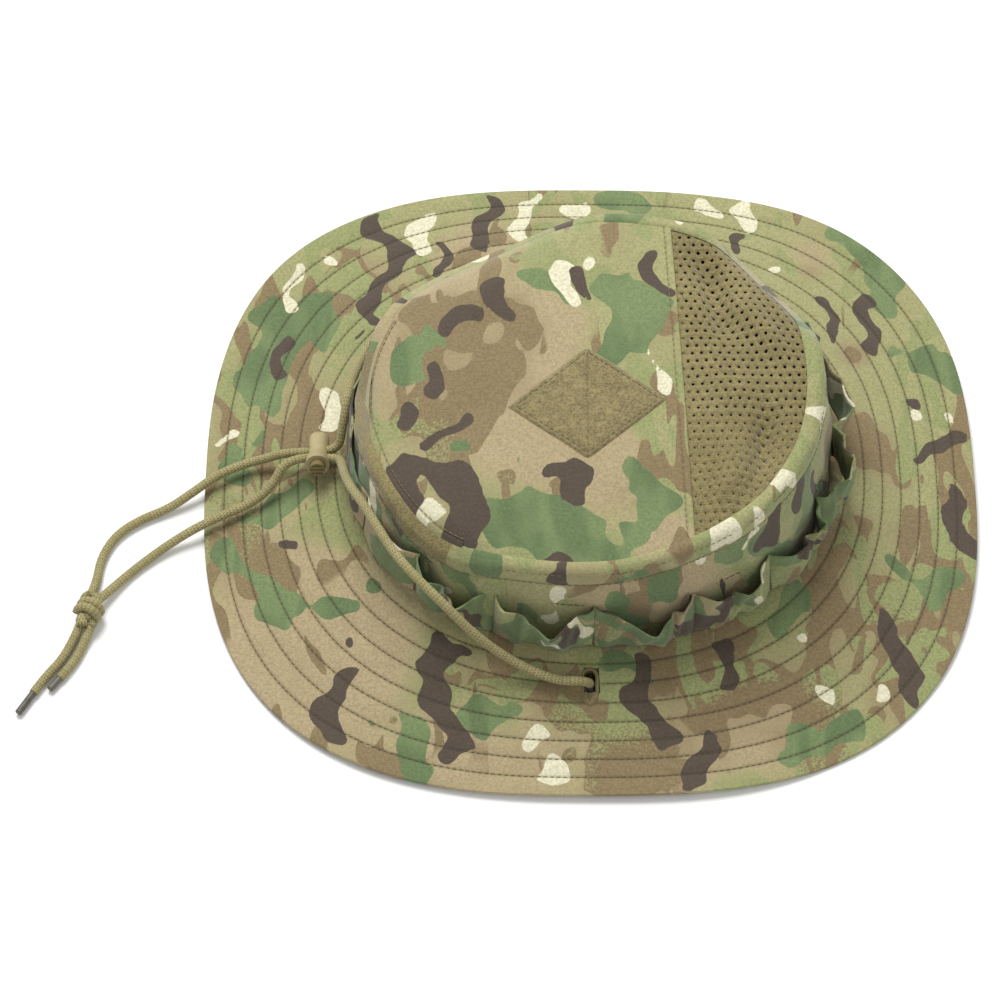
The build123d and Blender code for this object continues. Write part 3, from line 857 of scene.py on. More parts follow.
def slit_bar(share, half, inner, outer, side, face):
    """One bar of satin stitching across the edge of a slit, for a share of the way round."""
    straight, bend = 2 * half, math.pi * inner
    total = 2 * straight + 2 * bend
    travel = share * total
    if travel < straight:
        centre, facing = (0.0, travel - half), 0.0
    elif travel < straight + bend:
        centre, facing = (0.0, half), (travel - straight) / inner
    elif travel < 2 * straight + bend:
        centre, facing = (0.0, half - (travel - straight - bend)), math.pi
    else:
        centre, facing = (0.0, -half), math.pi + (travel - 2 * straight - bend) / inner
    out = np.array([math.cos(facing), math.sin(facing)])
    path = []
    if centre[1] + out[1] * inner > SLIT_OPEN:
        inner = 0.15 if abs(out[0]) > 0.3 else inner - 1.4
    for reach in np.linspace(inner, outer, 6):
        x = SLIT_X + centre[0] + out[0] * reach
        y = side * (SLIT_Y + centre[1] + out[1] * reach)
        path.append((x, y, slit_height(x, y, face)))
    normals = np.tile([0.0, 0.0, float(face)], (6, 1))
    length = outer - inner
    return np.array(path), normals, {"spacing": length * 1.01, "length": length * 0.98, "radius": TACK_RADIUS}


def slit_height(x, y, face):
    """Height of the brim's face beside a slit."""
    inner = HEAD_WIDTH - WALL_CLOTH
    share = (abs(y) - inner) / (RIM_WIDTH - inner)
    turn = math.copysign(math.pi / 2, y)
    surface = brim_top_point(turn, share) if face > 0 else brim_low_point(turn, share)
    return float(surface[2]) + 0.12 * face


# ---------------------------------------------------------------- crown
def plain_lattice(low, high, step):
    """Flat square grid."""
    xs = np.arange(low[0], high[0] + step, step)
    ys = np.arange(low[1], high[1] + step, step)
    points = np.stack(np.meshgrid(xs, ys), axis=-1)
    return points.reshape(-1, 2), grid_faces(len(ys), len(xs))


def hole_share(y):
    """Holes close up towards the right side of the hat, where the mesh is pulled sideways."""
    return 0.5 + 0.5 / (1 + math.exp(-(y + 22.0) / 9.0))


def holed_lattice(low, high, pitch, hole):
    """Flat grid of staggered cells, each with an eight-sided hole. pitch and hole are (x, y) sizes."""
    columns = int((high[0] - low[0]) / pitch[0]) + 2
    rows = int((high[1] - low[1]) / pitch[1]) + 2
    corners = [(-1, -1), (0, -1), (1, -1), (1, 0), (1, 1), (0, 1), (-1, 1), (-1, 0)]
    points, faces, known = [], [], {}

    def index(x, y):
        key = (round(x, 3), round(y, 3))
        if key not in known:
            known[key] = len(points)
            points.append((x, y))
        return known[key]

    for row in range(rows):
        for column in range(columns):
            x = low[0] + (column + 0.5 * (row % 2)) * pitch[0]
            y = low[1] + row * pitch[1]
            outer = [index(x + u * pitch[0] / 2, y + v * pitch[1] / 2) for u, v in corners]
            inner = []
            for u, v in corners:
                size = math.hypot(u, v) / hole_share(y)
                inner.append(index(x + u / size * hole[0], y + v / size * hole[1]))
            for side in range(8):
                beside = (side + 1) % 8
                faces.append((outer[side], outer[beside], inner[beside], inner[side]))
    return np.array(points), faces


def trimmed(points, faces, cuts):
    """Cuts a flat mesh by upright planes, each a (point, outward direction), and returns what is left."""
    bm = bmesh.new()
    vertices = [bm.verts.new((x, y, 0)) for x, y in points]
    for face in faces:
        bm.faces.new([vertices[index] for index in face])
    for place, outward in cuts:
        geometry = bm.verts[:] + bm.edges[:] + bm.faces[:]
        bmesh.ops.bisect_plane(
            bm, geom=geometry, plane_co=(*place, 0), plane_no=(*outward, 0), clear_outer=True, dist=1e-5
        )
    bm.verts.index_update()
    kept = np.array([vertex.co[:2] for vertex in bm.verts])
    left = [tuple(vertex.index for vertex in face.verts) for face in bm.faces]
    bm.free()
    return kept, left


def outline_cuts(inset, count=72):
    """Planes round the top of the crown, a little inside its seam."""
    ring = seam_ring(np.linspace(0, TURN, count, endpoint=False))[:, :2]
    cuts = []
    for here, ahead in zip(ring, np.roll(ring, -1, axis=0)):
        along = (ahead - here) / np.linalg.norm(ahead - here)
        outward = np.array([along[1], -along[0]])
        cuts.append((here - outward * inset, outward))
    return cuts


SEAM_ALONG = np.array([-math.sin(math.radians(SEAM_TURN)), math.cos(math.radians(SEAM_TURN))])
SEAM_OUT = np.array([SEAM_ALONG[1], -SEAM_ALONG[0]])
SEAM_PLACE = np.array([SEAM_X, 0.0])
REAR_OUT = np.array([-1.0, 0.0])
REAR_PLACE = np.array([-REAR_START, 0.0])


def lifted(points, rise=0.0):
    """Lays flat points on the crown's top."""
    height = top_surface(points[:, 0], points[:, 1]) + rise
    return np.column_stack([points, height])


def lay_panel(name, lattice, cuts, rise, thickness, finish, node):
    """A panel of the crown's top, cut from a flat lattice."""
    flat, faces = trimmed(*lattice, cuts)
    panel = mesh_object(name, lifted(flat, rise), faces)
    if finish is CAMO:
        paint_top(panel, flat)
    give(thicken(panel, thickness), finish, node)


def make_crown_top():
    """The cloth panel and the two mesh panels."""
    rim = outline_cuts(0.6)
    front_low = (SEAM_X - 8, TOP_LOW[1])
    cloth = plain_lattice(TOP_LOW, TOP_HIGH, TOP_PITCH)
    front = holed_lattice(front_low, TOP_HIGH, MESH_PITCH, MESH_HOLE)
    rear = holed_lattice(REAR_MESH_LOW, REAR_MESH_HIGH, REAR_MESH_PITCH, REAR_MESH_HOLE)
    cloth_cuts = rim + [(SEAM_PLACE, SEAM_OUT), (REAR_PLACE, REAR_OUT)]
    front_cuts = rim + [(SEAM_PLACE - SEAM_OUT * 2.5, -SEAM_OUT)]
    rear_cuts = rim + [(REAR_PLACE - REAR_OUT, -REAR_OUT)]
    lay_panel("crown_panel_cloth", cloth, cloth_cuts, 0.5, 0.8, CAMO, "crown_top_panel")
    lay_panel("crown_mesh_front_cloth", front, front_cuts, -0.2, 0.7, MESH_CLOTH, "crown_mesh_front")
    lay_panel("crown_mesh_rear_cloth", rear, rear_cuts, -0.2, 0.7, MESH_CLOTH, "crown_mesh_rear")


def within_top(points, inset):
    """The part of a line in plan that lies on the crown's top."""
    angle = np.mod(np.arctan2(points[:, 1], points[:, 0]) - RING_ANGLE[0], TURN) + RING_ANGLE[0]
    reach = np.interp(angle, RING_ANGLE, RING_REACH)
    return points[np.hypot(points[:, 0], points[:, 1]) < reach - inset]


def front_seam_line(offset=0.0):
    """Plan points along the seam between cloth and mesh."""
    shares = np.linspace(-95, 95, 200)
    return within_top(SEAM_PLACE + SEAM_ALONG * shares[:, None] + SEAM_OUT * offset, 1.0)


def rear_seam_line(inset=0.0):
    """Plan points round the rear and the right rear corner, where the cloth meets the mesh edge."""
    ring = seam_ring(np.linspace(math.radians(155), math.radians(236), 160))[:, :2]
    return ring * (1 - (2.6 + inset) / np.linalg.norm(ring, axis=1))[:, None]


def beside(line):
    """Directions in plan at right angles to a line."""
    along = unit(np.gradient(line, axis=0))
    return np.stack([along[:, 1], -along[:, 0]], axis=1)


def raised_seam(name, line, side, width):
    """A folded edge of cloth that stands up along a line on the crown's top."""
    outward = beside(line) * side
    rows = []
    for share in np.linspace(0, 1, 9):
        angle = math.pi * share
        shift = width / 2 * (1 - math.cos(angle)) - width * 0.6
        rise = 0.45 + 0.6 * math.sin(angle) - (0.9 if share == 1 else 0)
        rows.append(lifted(line + outward * shift, rise))
    piece = grid_object(name, np.stack(rows))
    flat = np.concatenate([row[:, :2] for row in rows])
    paint_top(piece, flat)
    give(piece, CAMO)


def flat_row(line, rise=0.62, **options):
    """A row of stitches that lies on the crown's top."""
    path = lifted(line, rise)
    normals = np.tile([0.0, 0.0, 1.0], (len(path), 1))
    return path, normals, options


def make_crown_seams():
    """Raised seams, their stitching, and the tapes that bind them inside."""
    raised_seam("front_seam_fold", front_seam_line(), 1, 2.6)
    raised_seam("rear_seam_fold", rear_seam_line(), -1, 2.4)
    rows = [flat_row(front_seam_line(-2.0)), flat_row(rear_seam_line(1.6), 0.7)]
    stitched_object("crown_seam_stitches", rows, THREAD_OLIVE)
    rear_shares = np.linspace(-70, 70, 120)
    rear_line = within_top(np.column_stack([np.full(120, 8.0 - REAR_START), rear_shares]), 1.0)
    tapes = (("seam_tape_front", front_seam_line(-1.0), -1.2), ("seam_tape_rear", rear_line, -3.0))
    for node, line, depth in tapes:
        shifts = np.linspace(-4.2, 4.2, 6)
        tape_rows = np.stack([lifted(line + beside(line) * shift, depth) for shift in shifts])
        give(thicken(grid_object(node + "_cloth", tape_rows), 0.5), TAPE_CLOTH, node)


def outward_of(turn, height):
    """Outward unit normals of the crown's wall in plan, with no rise."""
    step = 0.01
    along = unit(wall_plan(turn + step, height) - wall_plan(turn - step, height))
    return np.stack([along[..., 1], -along[..., 0], np.zeros(along.shape[:-1])], axis=-1)


def off_wall(turn, height, out):
    """Points that stand off the crown's wall by out, which may be an array."""
    return wall_point(turn, height) + outward_of(turn, height) * np.asarray(out)[..., None]


def wall_stitches(turns, height, out):
    """A closed row of stitches round the crown's wall."""
    return off_wall(turns, height, out), outward_of(turns, height), {"closed": True}


def edge_fall(turn):
    """How far down the wall the edge band reaches, so that it stays above the foliage band."""
    ring = seam_ring(turn)
    return np.clip(ring[:, 2] - BAND_TOP - 0.8, 3.0, 7.8)


# Section of the edge band: (share of the way down the wall, or over the top where negative, reach outwards).
EDGE_PROFILE = [(-0.36, 0.2), (-0.3, 0.75), (-0.14, 1.3), (0.0, 1.5), (0.12, 1.9), (0.3, 2.2), (0.5, 2.3)]
EDGE_PROFILE += [(0.68, 2.1), (0.82, 1.7), (0.93, 1.5), (1.0, 1.1), (1.0, 0.1)]


def make_edge_band():
    """Folded, topstitched band that covers the seam round the crown's top."""
    turns = np.linspace(0, TURN, CROWN_TURNS, endpoint=False)
    ring = seam_ring(turns)
    fall = edge_fall(turns)
    centre = -ring[:, :2] / np.linalg.norm(ring[:, :2], axis=1)[:, None]
    ripple = 0.4 * np.sin(23 * turns + 1.0) * np.sin(7 * turns) + 0.25 * np.sin(41 * turns + 2.0)
    rows = []
    wrap = 7.5 + 6.0 * np.exp(-((np.minimum(turns, TURN - turns) / 0.8) ** 2))
    for down, out in EDGE_PROFILE:
        if down < 0:
            plan = ring[:, :2] + centre * (-down * wrap)[:, None]
            height = top_surface(plan[:, 0], plan[:, 1]) + out
            rows.append(np.column_stack([plan, height]))
        else:
            swell = out + ripple * math.sin(math.pi * down) + 0.3
            rows.append(off_wall(turns, ring[:, 2] - down * fall, swell) + [0, 0, 0.9 * (1 - down) ** 2])
    points = np.stack(rows)
    count = len(EDGE_PROFILE)
    rear = (turns > math.radians(165)) & (turns < math.radians(234))
    start = int(np.flatnonzero(rear)[-1])
    order = np.roll(np.arange(len(turns)), -start)[: int((~rear).sum()) + 2]
    piece = grid_object("crown_edge_cloth", points[:, order])
    paint_edge(piece, np.tile(turns[order], count), np.repeat(np.linspace(0, 9, count), len(order)))
    give(piece, CAMO, "crown_edge_band")
    give(grid_object("crown_edge_mesh", points[:, rear]), MESH_CLOTH)
    rows = [wall_stitches(turns, ring[:, 2] - down * fall, 2.3) for down in (0.16, 0.84)]
    stitched_object("crown_edge_stitches", rows, THREAD_OLIVE)


def make_walls():
    """The two side panels of the crown, which meet at the front and the rear."""
    for node, start in (("crown_wall_left", 0.0), ("crown_wall_right", math.pi)):
        turns = np.linspace(start - 0.012, start + math.pi + 0.012, 260)
        ring = seam_ring(turns)
        rows, heights = [], []
        for share in np.linspace(0, 1, 26):
            height = HEAD_HEIGHT - 0.6 + share * (ring[:, 2] - HEAD_HEIGHT + 0.2)
            swell = 1.4 * math.sin(math.pi * share) * (1 + 0.7 * np.sin(9 * turns + 1.0))
            swell = swell + 0.5 * math.sin(math.pi * share) * np.sin(29 * turns + 5 * share)
            rows.append(off_wall(turns, height, swell - 0.1))
            heights.append(height)
        piece = grid_object(node + "_cloth", np.stack(rows))
        paint_strip(piece, np.tile(turns, len(rows)), np.concatenate(heights))
        give(thicken(piece, 1.1, 1.0), CAMO, node)


# Section of the sweatband: (share of its height, reach outwards from the crown's outer face).
SWEAT_PROFILE = [(0.0, -1.3), (0.5, -1.35), (1.0, -1.6), (0.97, -2.3)]
SWEAT_PROFILE += [(0.75, -2.6), (0.4, -2.7), (0.1, -2.5), (-0.05, -1.9)]


def make_sweatband():
    """Turned band inside the head opening, stitched along its lower edge."""
    turns = np.linspace(0, TURN, 300, endpoint=False)
    rows = []
    for share, out in SWEAT_PROFILE:
        height = HEAD_HEIGHT + share * SWEATBAND_HEIGHT
        ripple = 0.25 * np.sin(17 * turns + 3 * share)
        rows.append(wall_point(turns, np.full(turns.shape, height), out + ripple))
    piece = grid_object("sweatband_cloth", np.stack(rows), True)
    give(piece, SWEAT_CLOTH, "sweatband")
    stitch_rows = []
    for share in (0.09, 0.9):
        height = np.full(turns.shape, HEAD_HEIGHT + share * SWEATBAND_HEIGHT)
        stitch_rows.append((wall_point(turns, height, -2.75), -outward_of(turns, height), {"closed": True}))
    stitched_object("sweatband_stitches", stitch_rows, THREAD_OLIVE)


# ---------------------------------------------------------------- foliage band
# Section of the strip: (share of its height, reach outwards).
STRIP_PROFILE = [(0, 0.2), (0, 1.0), (0.08, 1.3), (0.2, 1.5), (0.5, 1.6)]
STRIP_PROFILE += [(0.8, 1.5), (0.92, 1.3), (1, 1.0), (1, 0.2)]


def make_foliage_strip():
    """Flat strip that the loops are sewn to."""
    turns = np.linspace(0, TURN, CROWN_TURNS, endpoint=False)
    rows, heights = [], []
    for share, out in STRIP_PROFILE:
        height = np.full(turns.shape, BAND_LOW + share * (BAND_TOP - BAND_LOW))
        ripple = 0.3 * np.sin(27 * turns + 4 * share) * math.sin(math.pi * share)
        rows.append(off_wall(turns, height, out + ripple))
        heights.append(height)
    piece = grid_object("foliage_strip_cloth", np.stack(rows), True)
    paint_strip(piece, np.tile(turns, len(rows)), np.concatenate(heights), 140)
    give(piece, CAMO, "foliage_strip")
    stitch_rows = []
    for share in (0.09, 0.91):
        height = np.full(turns.shape, BAND_LOW + share * (BAND_TOP - BAND_LOW))
        stitch_rows.append(wall_stitches(turns, height, 1.5))
    stitched_object("foliage_strip_stitches", stitch_rows, THREAD_DARK)


# loops on the left side that the leaning crown presses down
FLAT_LOOPS = (10, 11, 12, 13)


def loop_character(number):
    """How one loop lies: its reach at the top and bottom, its fold depth, and how far its top edge hangs."""
    from_rear = min(number, LOOP_COUNT - 1 - number)
    if from_rear == 0:
        return {"top": 1.9, "bottom": 1.9, "fold": 0.3, "drop": 0.5, "swell": 0.0}
    if from_rear == 1:
        return {"top": 3.4, "bottom": 2.6, "fold": 0.7, "drop": 2.0, "swell": 0.0}
    if number in FLAT_LOOPS:
        return {"top": 4.6, "bottom": 4.0, "fold": 0.9, "drop": 6.0, "swell": 0.0}
    crushed = 2 <= number <= 6
    return {
        "top": rng.uniform(7.5, 11.0),
        "bottom": rng.uniform(2.0, 4.0) if crushed else rng.uniform(3.0, 7.0),
        "fold": rng.uniform(2.6, 3.6) if crushed else rng.uniform(1.2, 2.2),
        "drop": rng.uniform(3.0, 8.0) if crushed else rng.uniform(0.0, 4.0),
        "swell": rng.uniform(-0.3, 0.1) if crushed else rng.uniform(0.1, 0.4),
    }


def make_foliage_loops():
    """Loops of the band, each bulging, leaning, hanging and creased in its own way."""
    pitch = TURN / LOOP_COUNT
    columns, levels = 65, 17
    for number in range(LOOP_COUNT):
        start = -math.pi + pitch * number
        way = loop_character(number)
        skew, tilt = rng.uniform(-0.2, 0.2), rng.uniform(-2.0, 2.0)
        phase, second = rng.uniform(0, TURN), rng.uniform(0, TURN)
        share = np.linspace(0, 1, columns)
        leaned = np.clip(share + skew * np.sin(math.pi * share) ** 2, 0, 1)
        arch = np.sin(math.pi * leaned) ** 0.55
        belly = np.sin(math.pi * share) ** 2
        rows, heights = [], []
        for level in np.linspace(0, 1, levels):
            bulge = way["bottom"] + (way["top"] - way["bottom"]) * level**0.7
            wide = np.sin(TURN * share * 1.9 + phase + 1.2 * level)
            fine = 1 - 2 * np.abs(np.sin(TURN * share * 2.4 + second - 1.8 * level))
            crease = way["fold"] * (wide + 0.6 * fine) * arch * (0.35 + 0.65 * level)
            pinch = np.maximum(1.9 + bulge * arch + crease, 1.9)
            spread = 1 + way["swell"] * np.sin(math.pi * share) * level
            turns = start + pitch * (0.5 + (leaned - 0.5) * spread)
            height = LOOP_LOW + LOOP_HEIGHT * level + tilt * level * (share - 0.5) * belly
            height = height - way["drop"] * level**1.5 * belly + 0.5 * way["fold"] * fine * level**2 * arch
            rows.append(off_wall(turns, height, pinch))
            heights.append(height)
        node = f"foliage_loop_{number + 1:02d}"
        piece = grid_object(node + "_cloth", np.stack(rows))
        along = np.tile(start + pitch * share, levels)
        paint_strip(piece, along, np.concatenate(heights) * 1.3, 310)
        give(thicken(piece, 0.8, 1.0), CAMO, node)


def make_bartacks():
    """Close zigzag stitching that holds the band between two loops."""
    rows = []
    for number in range(LOOP_COUNT):
        turn = np.full(6, -math.pi + TURN * number / LOOP_COUNT)
        for height in np.arange(LOOP_LOW + 1.0, LOOP_LOW + LOOP_HEIGHT - 0.5, 0.55):
            spread = np.linspace(-0.014, 0.014, 6)
            level = np.full(6, height)
            path, out, _ = wall_stitches(turn + spread, level, 2.9)
            rows.append((path, out, {"spacing": 2.7, "length": 2.4, "radius": TACK_RADIUS}))
    stitched_object("foliage_bartack_stitches", rows, THREAD_DARK, "foliage_bartacks")


# ---------------------------------------------------------------- patch
def on_patch(shares):
    """Plan points on the patch from shares of its half length and half width."""
    return shares * [PATCH_LENGTH, PATCH_WIDTH] + [PATCH_X, PATCH_Y]


def make_patch():
    """Diamond of loop pile sewn to the top of the crown."""
    rows = []
    count = 60
    for across in np.linspace(-1, 1, count):
        for along in np.linspace(-1, 1, count):
            rows.append(((across + along) / 2, (across - along) / 2))
    shares = np.array(rows)
    flat = on_patch(shares)
    edge = np.abs(shares[:, 0]) + np.abs(shares[:, 1])
    fade = np.clip((1 - edge) / 0.06, 0, 1) ** 0.5
    fuzz = rng.uniform(-0.22, 0.22, len(flat)) * fade
    valley = 0.5 * np.exp(-((shares[:, 0] * PATCH_LENGTH / 0.9) ** 2))
    border = 0.35 * np.exp(-(((edge - 0.9) / 0.03) ** 2))
    points = lifted(flat, 0.5 + 1.2 * fade + fuzz - valley - border)
    give(mesh_object("loop_patch_pile", points, grid_faces(count, count)), PILE, "loop_patch")
    corners = np.array([(1, 0), (0, 1), (-1, 0), (0, -1), (1, 0)], float)
    stitched = []
    for first, second in zip(corners, corners[1:]):
        line = first + (second - first) * np.linspace(0.02, 0.98, 40)[:, None]
        stitched.append(flat_row(on_patch(line * 0.9), 1.55, length=2.0))
    middle = np.column_stack([np.zeros(40), np.linspace(-0.9, 0.9, 40)])
    stitched.append(flat_row(on_patch(middle), 1.5, length=2.0))
    stitched_object("loop_patch_stitches", stitched, THREAD_OLIVE)


# ---------------------------------------------------------------- chin cord
LOCK_DROP = math.radians(LOCK_TILT)
RIGHT_Y = LOCK_Y - LOCK_OFFSET * math.cos(LOCK_DROP)
RIGHT_Z = LOCK_Z + LOCK_OFFSET * math.sin(LOCK_DROP)
LEFT_Y = LOCK_Y + LOCK_OFFSET * math.cos(LOCK_DROP)
LEFT_Z = LOCK_Z - LOCK_OFFSET * math.sin(LOCK_DROP)

# The CAD model's routes, in metres.
RIGHT_ROUTE = [
    (-0.0015, -0.1035, 0.0072), (-0.0015, -0.1063, 0.0135), (-0.0055, -0.1075, 0.0170),
    (-0.0150, -0.1068, 0.0163), (-0.0265, -0.1023, 0.0174), (-0.0380, -0.0984, 0.0236),
    (-0.0490, -0.0952, 0.0344), (-0.0605, -0.0874, 0.0442), (-0.0710, -0.0776, 0.0472),
    (-0.0806, -0.0654, 0.0478), (-0.0878, -0.0516, 0.0472), (-0.0936, -0.0394, 0.0442),
    (-0.0982, -0.0290, 0.0386), (-0.1012, -0.0188, 0.0322), (-0.1028, -0.0090, 0.0264),
    (-0.1048, RIGHT_Y * MM, RIGHT_Z * MM), (-0.1260, RIGHT_Y * MM, RIGHT_Z * MM),
    (-0.1326, -0.0120, 0.0118), (-0.1412, -0.0174, 0.0080), (-0.1522, -0.0222, 0.0070),
    (-0.1634, -0.0282, 0.0065), (-0.1740, -0.0340, 0.0034), (-0.1844, -0.0422, 0.0021),
    (-0.1936, -0.0514, 0.0021), (-0.2028, -0.0636, 0.0052),
]
LEFT_ROUTE = [
    (-0.0015, 0.1035, 0.0072), (-0.0015, 0.1063, 0.0135), (-0.0055, 0.1075, 0.0168),
    (-0.0150, 0.1068, 0.0152), (-0.0295, 0.1036, 0.0150), (-0.0438, 0.0988, 0.0153),
    (-0.0576, 0.0922, 0.0156), (-0.0710, 0.0838, 0.0158), (-0.0834, 0.0726, 0.0162),
    (-0.0918, 0.0598, 0.0168), (-0.0964, 0.0472, 0.0200), (-0.0984, 0.0370, 0.0260),
    (-0.0996, 0.0286, 0.0314), (-0.1004, 0.0210, 0.0344), (-0.1014, 0.0142, 0.0332),
    (-0.1028, 0.0082, 0.0274), (-0.1048, LEFT_Y * MM, LEFT_Z * MM), (-0.1254, LEFT_Y * MM, LEFT_Z * MM),
    (-0.1350, 0.0032, 0.0114), (-0.1454, 0.0022, 0.0080), (-0.1560, -0.0026, 0.0070),
    (-0.1654, -0.0100, 0.0056), (-0.1754, -0.0162, 0.0025), (-0.1870, -0.0214, 0.0021),
    (-0.1968, -0.0290, 0.0021), (-0.2024, -0.0404, 0.0021), (-0.2034, -0.0530, 0.0025),
    (-0.2064, -0.0640, 0.0052),
]
UNDER_ROUTE = [
    (-0.0015, -0.1035, 0.0072), (-0.0015, -0.1012, 0.0021), (-0.0006, -0.0925, 0.0021),
    (0.0016, -0.0770, 0.0021), (0.0046, -0.0500, 0.0021), (-0.0050, -0.0120, 0.0021),
    (0.0052, 0.0260, 0.0021), (0.0014, 0.0560, 0.0021), (-0.0022, 0.0790, 0.0021),
    (-0.0019, 0.0930, 0.0021), (-0.0015, 0.1012, 0.0021), (-0.0015, 0.1035, 0.0072),
]
TAIL_A_ROUTE = [
    (-0.2074, -0.0705, 0.0048), (-0.2114, -0.0802, 0.0022), (-0.2154, -0.0892, 0.0021),
    (-0.2212, -0.0966, 0.0021), (-0.2258, -0.1044, 0.0021),
]
TAIL_B_ROUTE = [
    (-0.2018, -0.0672, 0.0054), (-0.2034, -0.0720, 0.0048), (-0.2070, -0.0816, 0.0022),
    (-0.2104, -0.0904, 0.0021), (-0.2156, -0.0976, 0.0021),
]


def smooth_line(route):
    """Points of the NURBS line of a route, close together, in metres."""
    curve = bpy.data.curves.new("line", "CURVE")
    curve.dimensions = "3D"
    curve.resolution_u = 16
    spline = curve.splines.new("NURBS")
    spline.points.add(len(route) - 1)
    for point, place in zip(spline.points, route):
        point.co = (*place, 1.0)
    spline.order_u = 3
    spline.use_endpoint_u = True
    holder = bpy.data.objects.new("line", curve)
    bpy.context.scene.collection.objects.link(holder)
    bpy.context.view_layer.update()
    mesh = bpy.data.meshes.new_from_object(holder)
    line = np.array([vertex.co for vertex in mesh.vertices], float)
    bpy.data.objects.remove(holder)
    bpy.data.meshes.remove(mesh)
    bpy.data.curves.remove(curve)
    return line


def even_line(line, step):
    """The same line with points a fixed distance apart."""
    reach = distances(line)
    at = np.linspace(0, reach[-1], max(8, int(reach[-1] / step)))
    return interpolated(at, reach, line), at


def carried_frames(line):
    """Two directions across a line that turn with it and don't twist."""
    along = unit(np.gradient(line, axis=0))
    side = np.cross(along[0], [0.0, 0.0, 1.0])
    if np.linalg.norm(side) < 0.1:
        side = np.cross(along[0], [1.0, 0.0, 0.0])
    sides = []
    for direction in along:
        side = side - direction * (side @ direction)
        side = side / np.linalg.norm(side)
        sides.append(side)
    sides = np.array(sides)
    return sides, np.cross(along, sides)


def braided_tube(name, line, radius, *nodes):
    """Cord with a raised braid: two families of strands that cross over and under."""
    strands, lay, around_count = 20, 30.0, 60
    points, reach = even_line(line / MM, 0.34)
    first, second = carried_frames(points)
    around = np.linspace(0, TURN, around_count, endpoint=False)
    twist = TURN * reach[:, None] / lay
    right = np.cos(strands / 2 * (around[None, :] + twist))
    left = np.cos(strands / 2 * (around[None, :] - twist))
    over = np.cos(strands / 2 * twist + np.floor(around / TURN * strands)[None, :] * math.pi) > 0
    relief = np.where(over, right, left) * 0.5 + 0.5
    size = radius * (0.92 + 0.08 * relief)
    ring = first[:, None, :] * np.cos(around)[None, :, None]
    ring = ring + second[:, None, :] * np.sin(around)[None, :, None]
    skin = points[:, None, :] + ring * size[:, :, None]
    faces = grid_faces(len(points), len(around), True)
    last = (len(points) - 1) * len(around)
    faces.append(tuple(reversed(range(len(around)))))
    faces.append(tuple(last + index for index in range(len(around))))
    piece = mesh_object(name, skin, faces)
    add_field(piece, "relief", relief)
    return give(piece, BRAID, *nodes)


def make_cords():
    """The chin cord's stretches, laid as the CAD model lays them."""
    stretches = [
        ("cord_right_braid", "chin_cord_right", RIGHT_ROUTE, 0.307, "knot"),
        ("cord_left_braid", "chin_cord_left", LEFT_ROUTE, 0.3233, "knot"),
        ("cord_under_braid", "chin_cord_under", UNDER_ROUTE, 0.2145, "object"),
        ("cord_tail_a_braid", "chin_cord_tail_a", TAIL_A_ROUTE, 0.039, "bare"),
        ("cord_tail_b_braid", "chin_cord_tail_b", TAIL_B_ROUTE, 0.0339, "bare"),
    ]
    for name, node, route, length, far_end in stretches:
        line = smooth_line(route)
        piece = braided_tube(name, line, CORD_RADIUS, node)


def make_knot():
    """Overhand knot of the doubled cord: wraps round the strands with one crossing over them."""
    centre, lean = np.array([-205.2, -67.9, 6.0]), math.radians(65)
    axis = np.array([math.cos(lean), math.sin(lean), 0.0])
    side = np.array([-axis[1], axis[0], 0.0])
    up = np.array([0.0, 0.0, 1.0])
    reach_side, reach_up = 4.3, 3.6
    for name, shift, nodes in (("cord_knot_wrap_a", 0.0, ["chin_cord_knot"]), ("cord_knot_wrap_b", 0.5, [])):
        wraps = []
        for share in np.linspace(0, 1, 90):
            angle = TURN * (1.15 * share + shift)
            along = -3.6 + 7.2 * share + 1.5 * math.sin(angle + 0.6)
            round_it = side * reach_side * math.cos(angle) + up * reach_up * math.sin(angle)
            wraps.append(centre + axis * along + round_it)
        braided_tube(name, np.array(wraps) * MM, CORD_RADIUS * 0.97, *nodes)
    core = [centre + axis * along + side * 0.9 * math.sin(along) for along in np.linspace(-7.5, 7.5, 40)]
    braided_tube("cord_knot_core", np.array(core) * MM, CORD_RADIUS * 1.25)


def make_hardware():
    """Finishes for the CAD pieces that stay: the cord lock, its spring and the tips."""
    finishes = {
        "cord_lock_body": LOCK_TAN,
        "cord_lock_button": BUTTON_OLIVE,
        "cord_lock_spring": SPRING_WIRE,
        "aglet_a": AGLET_DARK,
        "aglet_b": AGLET_DARK,
    }
    for node, finish in finishes.items():
        give(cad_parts[node], finish)


# ---------------------------------------------------------------- stage, light and camera
CAMERA_TARGET = Vector((-0.03735, -0.02347, 0.020))
CAMERA_DISTANCE, CAMERA_ELEVATION, CAMERA_LENS = 1.5, 57.0, 131.1
LIGHT_TARGET = Vector((0.0, 0.0, 0.03))
FLOOR_REACH = 6.0


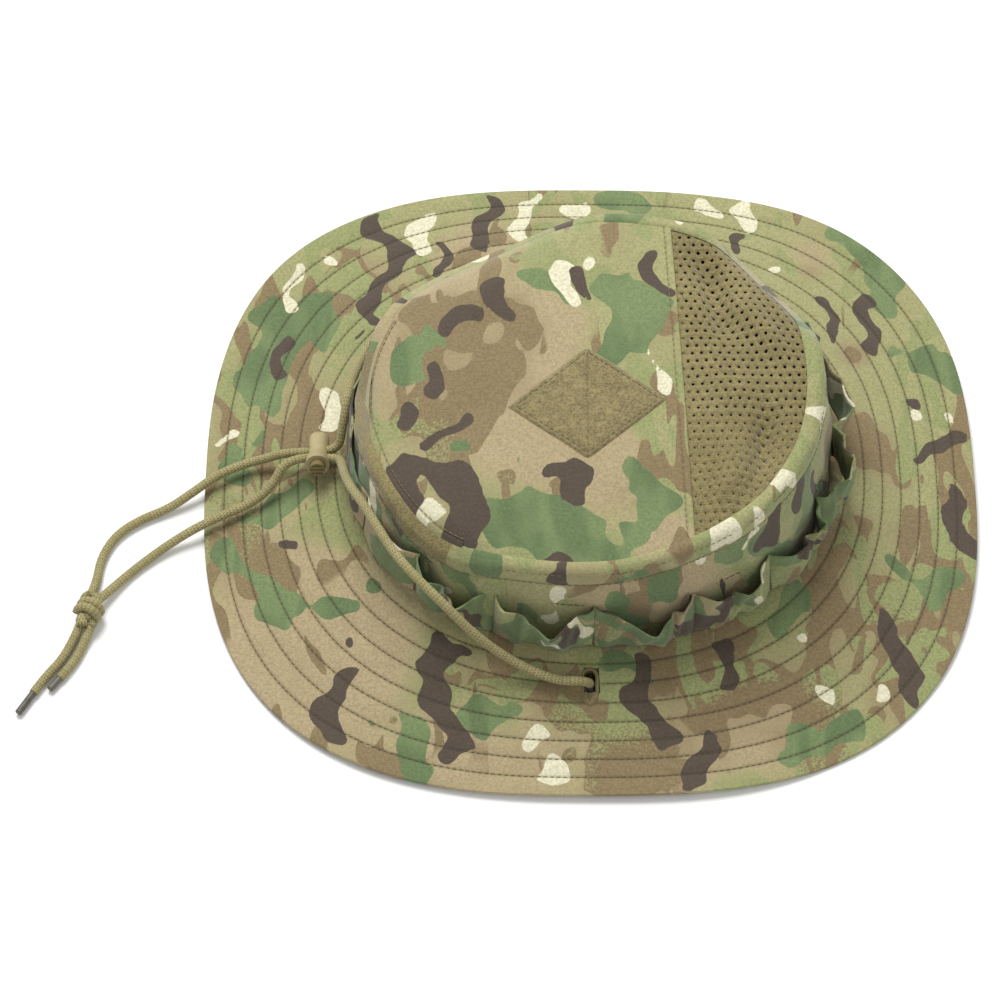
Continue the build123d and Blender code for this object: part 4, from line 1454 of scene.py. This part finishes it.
def make_camera():
    """Camera above the hat's right side, looking across it."""
    data = bpy.data.cameras.new("camera")
    data.lens = CAMERA_LENS
    data.sensor_width = 36.0
    camera = bpy.data.objects.new("camera", data)
    bpy.context.scene.collection.objects.link(camera)
    rise = math.radians(CAMERA_ELEVATION)
    back = Vector((0.0, -math.cos(rise), math.sin(rise)))
    camera.location = CAMERA_TARGET + back * CAMERA_DISTANCE
    camera.rotation_euler = back.to_track_quat("Z", "Y").to_euler()
    bpy.context.scene.camera = camera


def area_light(name, place, size, power):
    """Square soft light that faces the hat."""
    data = bpy.data.lights.new(name, "AREA")
    data.size = size
    data.energy = power
    lamp = bpy.data.objects.new(name, data)
    bpy.context.scene.collection.objects.link(lamp)
    lamp.location = place
    lamp.rotation_euler = (Vector(place) - LIGHT_TARGET).to_track_quat("Z", "Y").to_euler()


def make_stage():
    """Pale floor, pale surroundings and soft studio lights."""
    shader = Shader("floor", 0.9)
    tone = shader.noise(3.0, 2.0)
    floor_colour = shader.mix(tone, linear(244, 244, 243), linear(248, 248, 247))
    floor_material = shader.done(floor_colour)
    mesh = bpy.data.meshes.new("floor")
    corners = [(FLOOR_REACH * x, FLOOR_REACH * y, 0) for x, y in ((-1, -1), (1, -1), (1, 1), (-1, 1))]
    mesh.from_pydata(corners, [], [(0, 1, 2, 3)])
    mesh.materials.append(floor_material)
    floor = bpy.data.objects.new("floor", mesh)
    bpy.context.scene.collection.objects.link(floor)
    world = bpy.data.worlds.new("studio")
    world.use_nodes = True
    backdrop = world.node_tree.nodes["Background"]
    backdrop.inputs["Color"].default_value = (1.0, 1.0, 1.0, 1.0)
    backdrop.inputs["Strength"].default_value = 0.46
    bpy.context.scene.world = world
    area_light("key", (-0.35, 0.8, 1.5), 0.9, 31.0)
    area_light("fill", (0.8, -1.0, 1.3), 1.6, 7.0)
    bpy.context.scene.view_settings.view_transform = "Standard"


make_camera()
make_cords()
make_knot()
make_brim()
make_brim_stitching()
make_buttonholes()
make_crown_top()
make_crown_seams()
make_walls()
make_edge_band()
make_sweatband()
make_foliage_strip()
make_foliage_loops()
make_bartacks()
make_patch()
make_hardware()
make_stage()
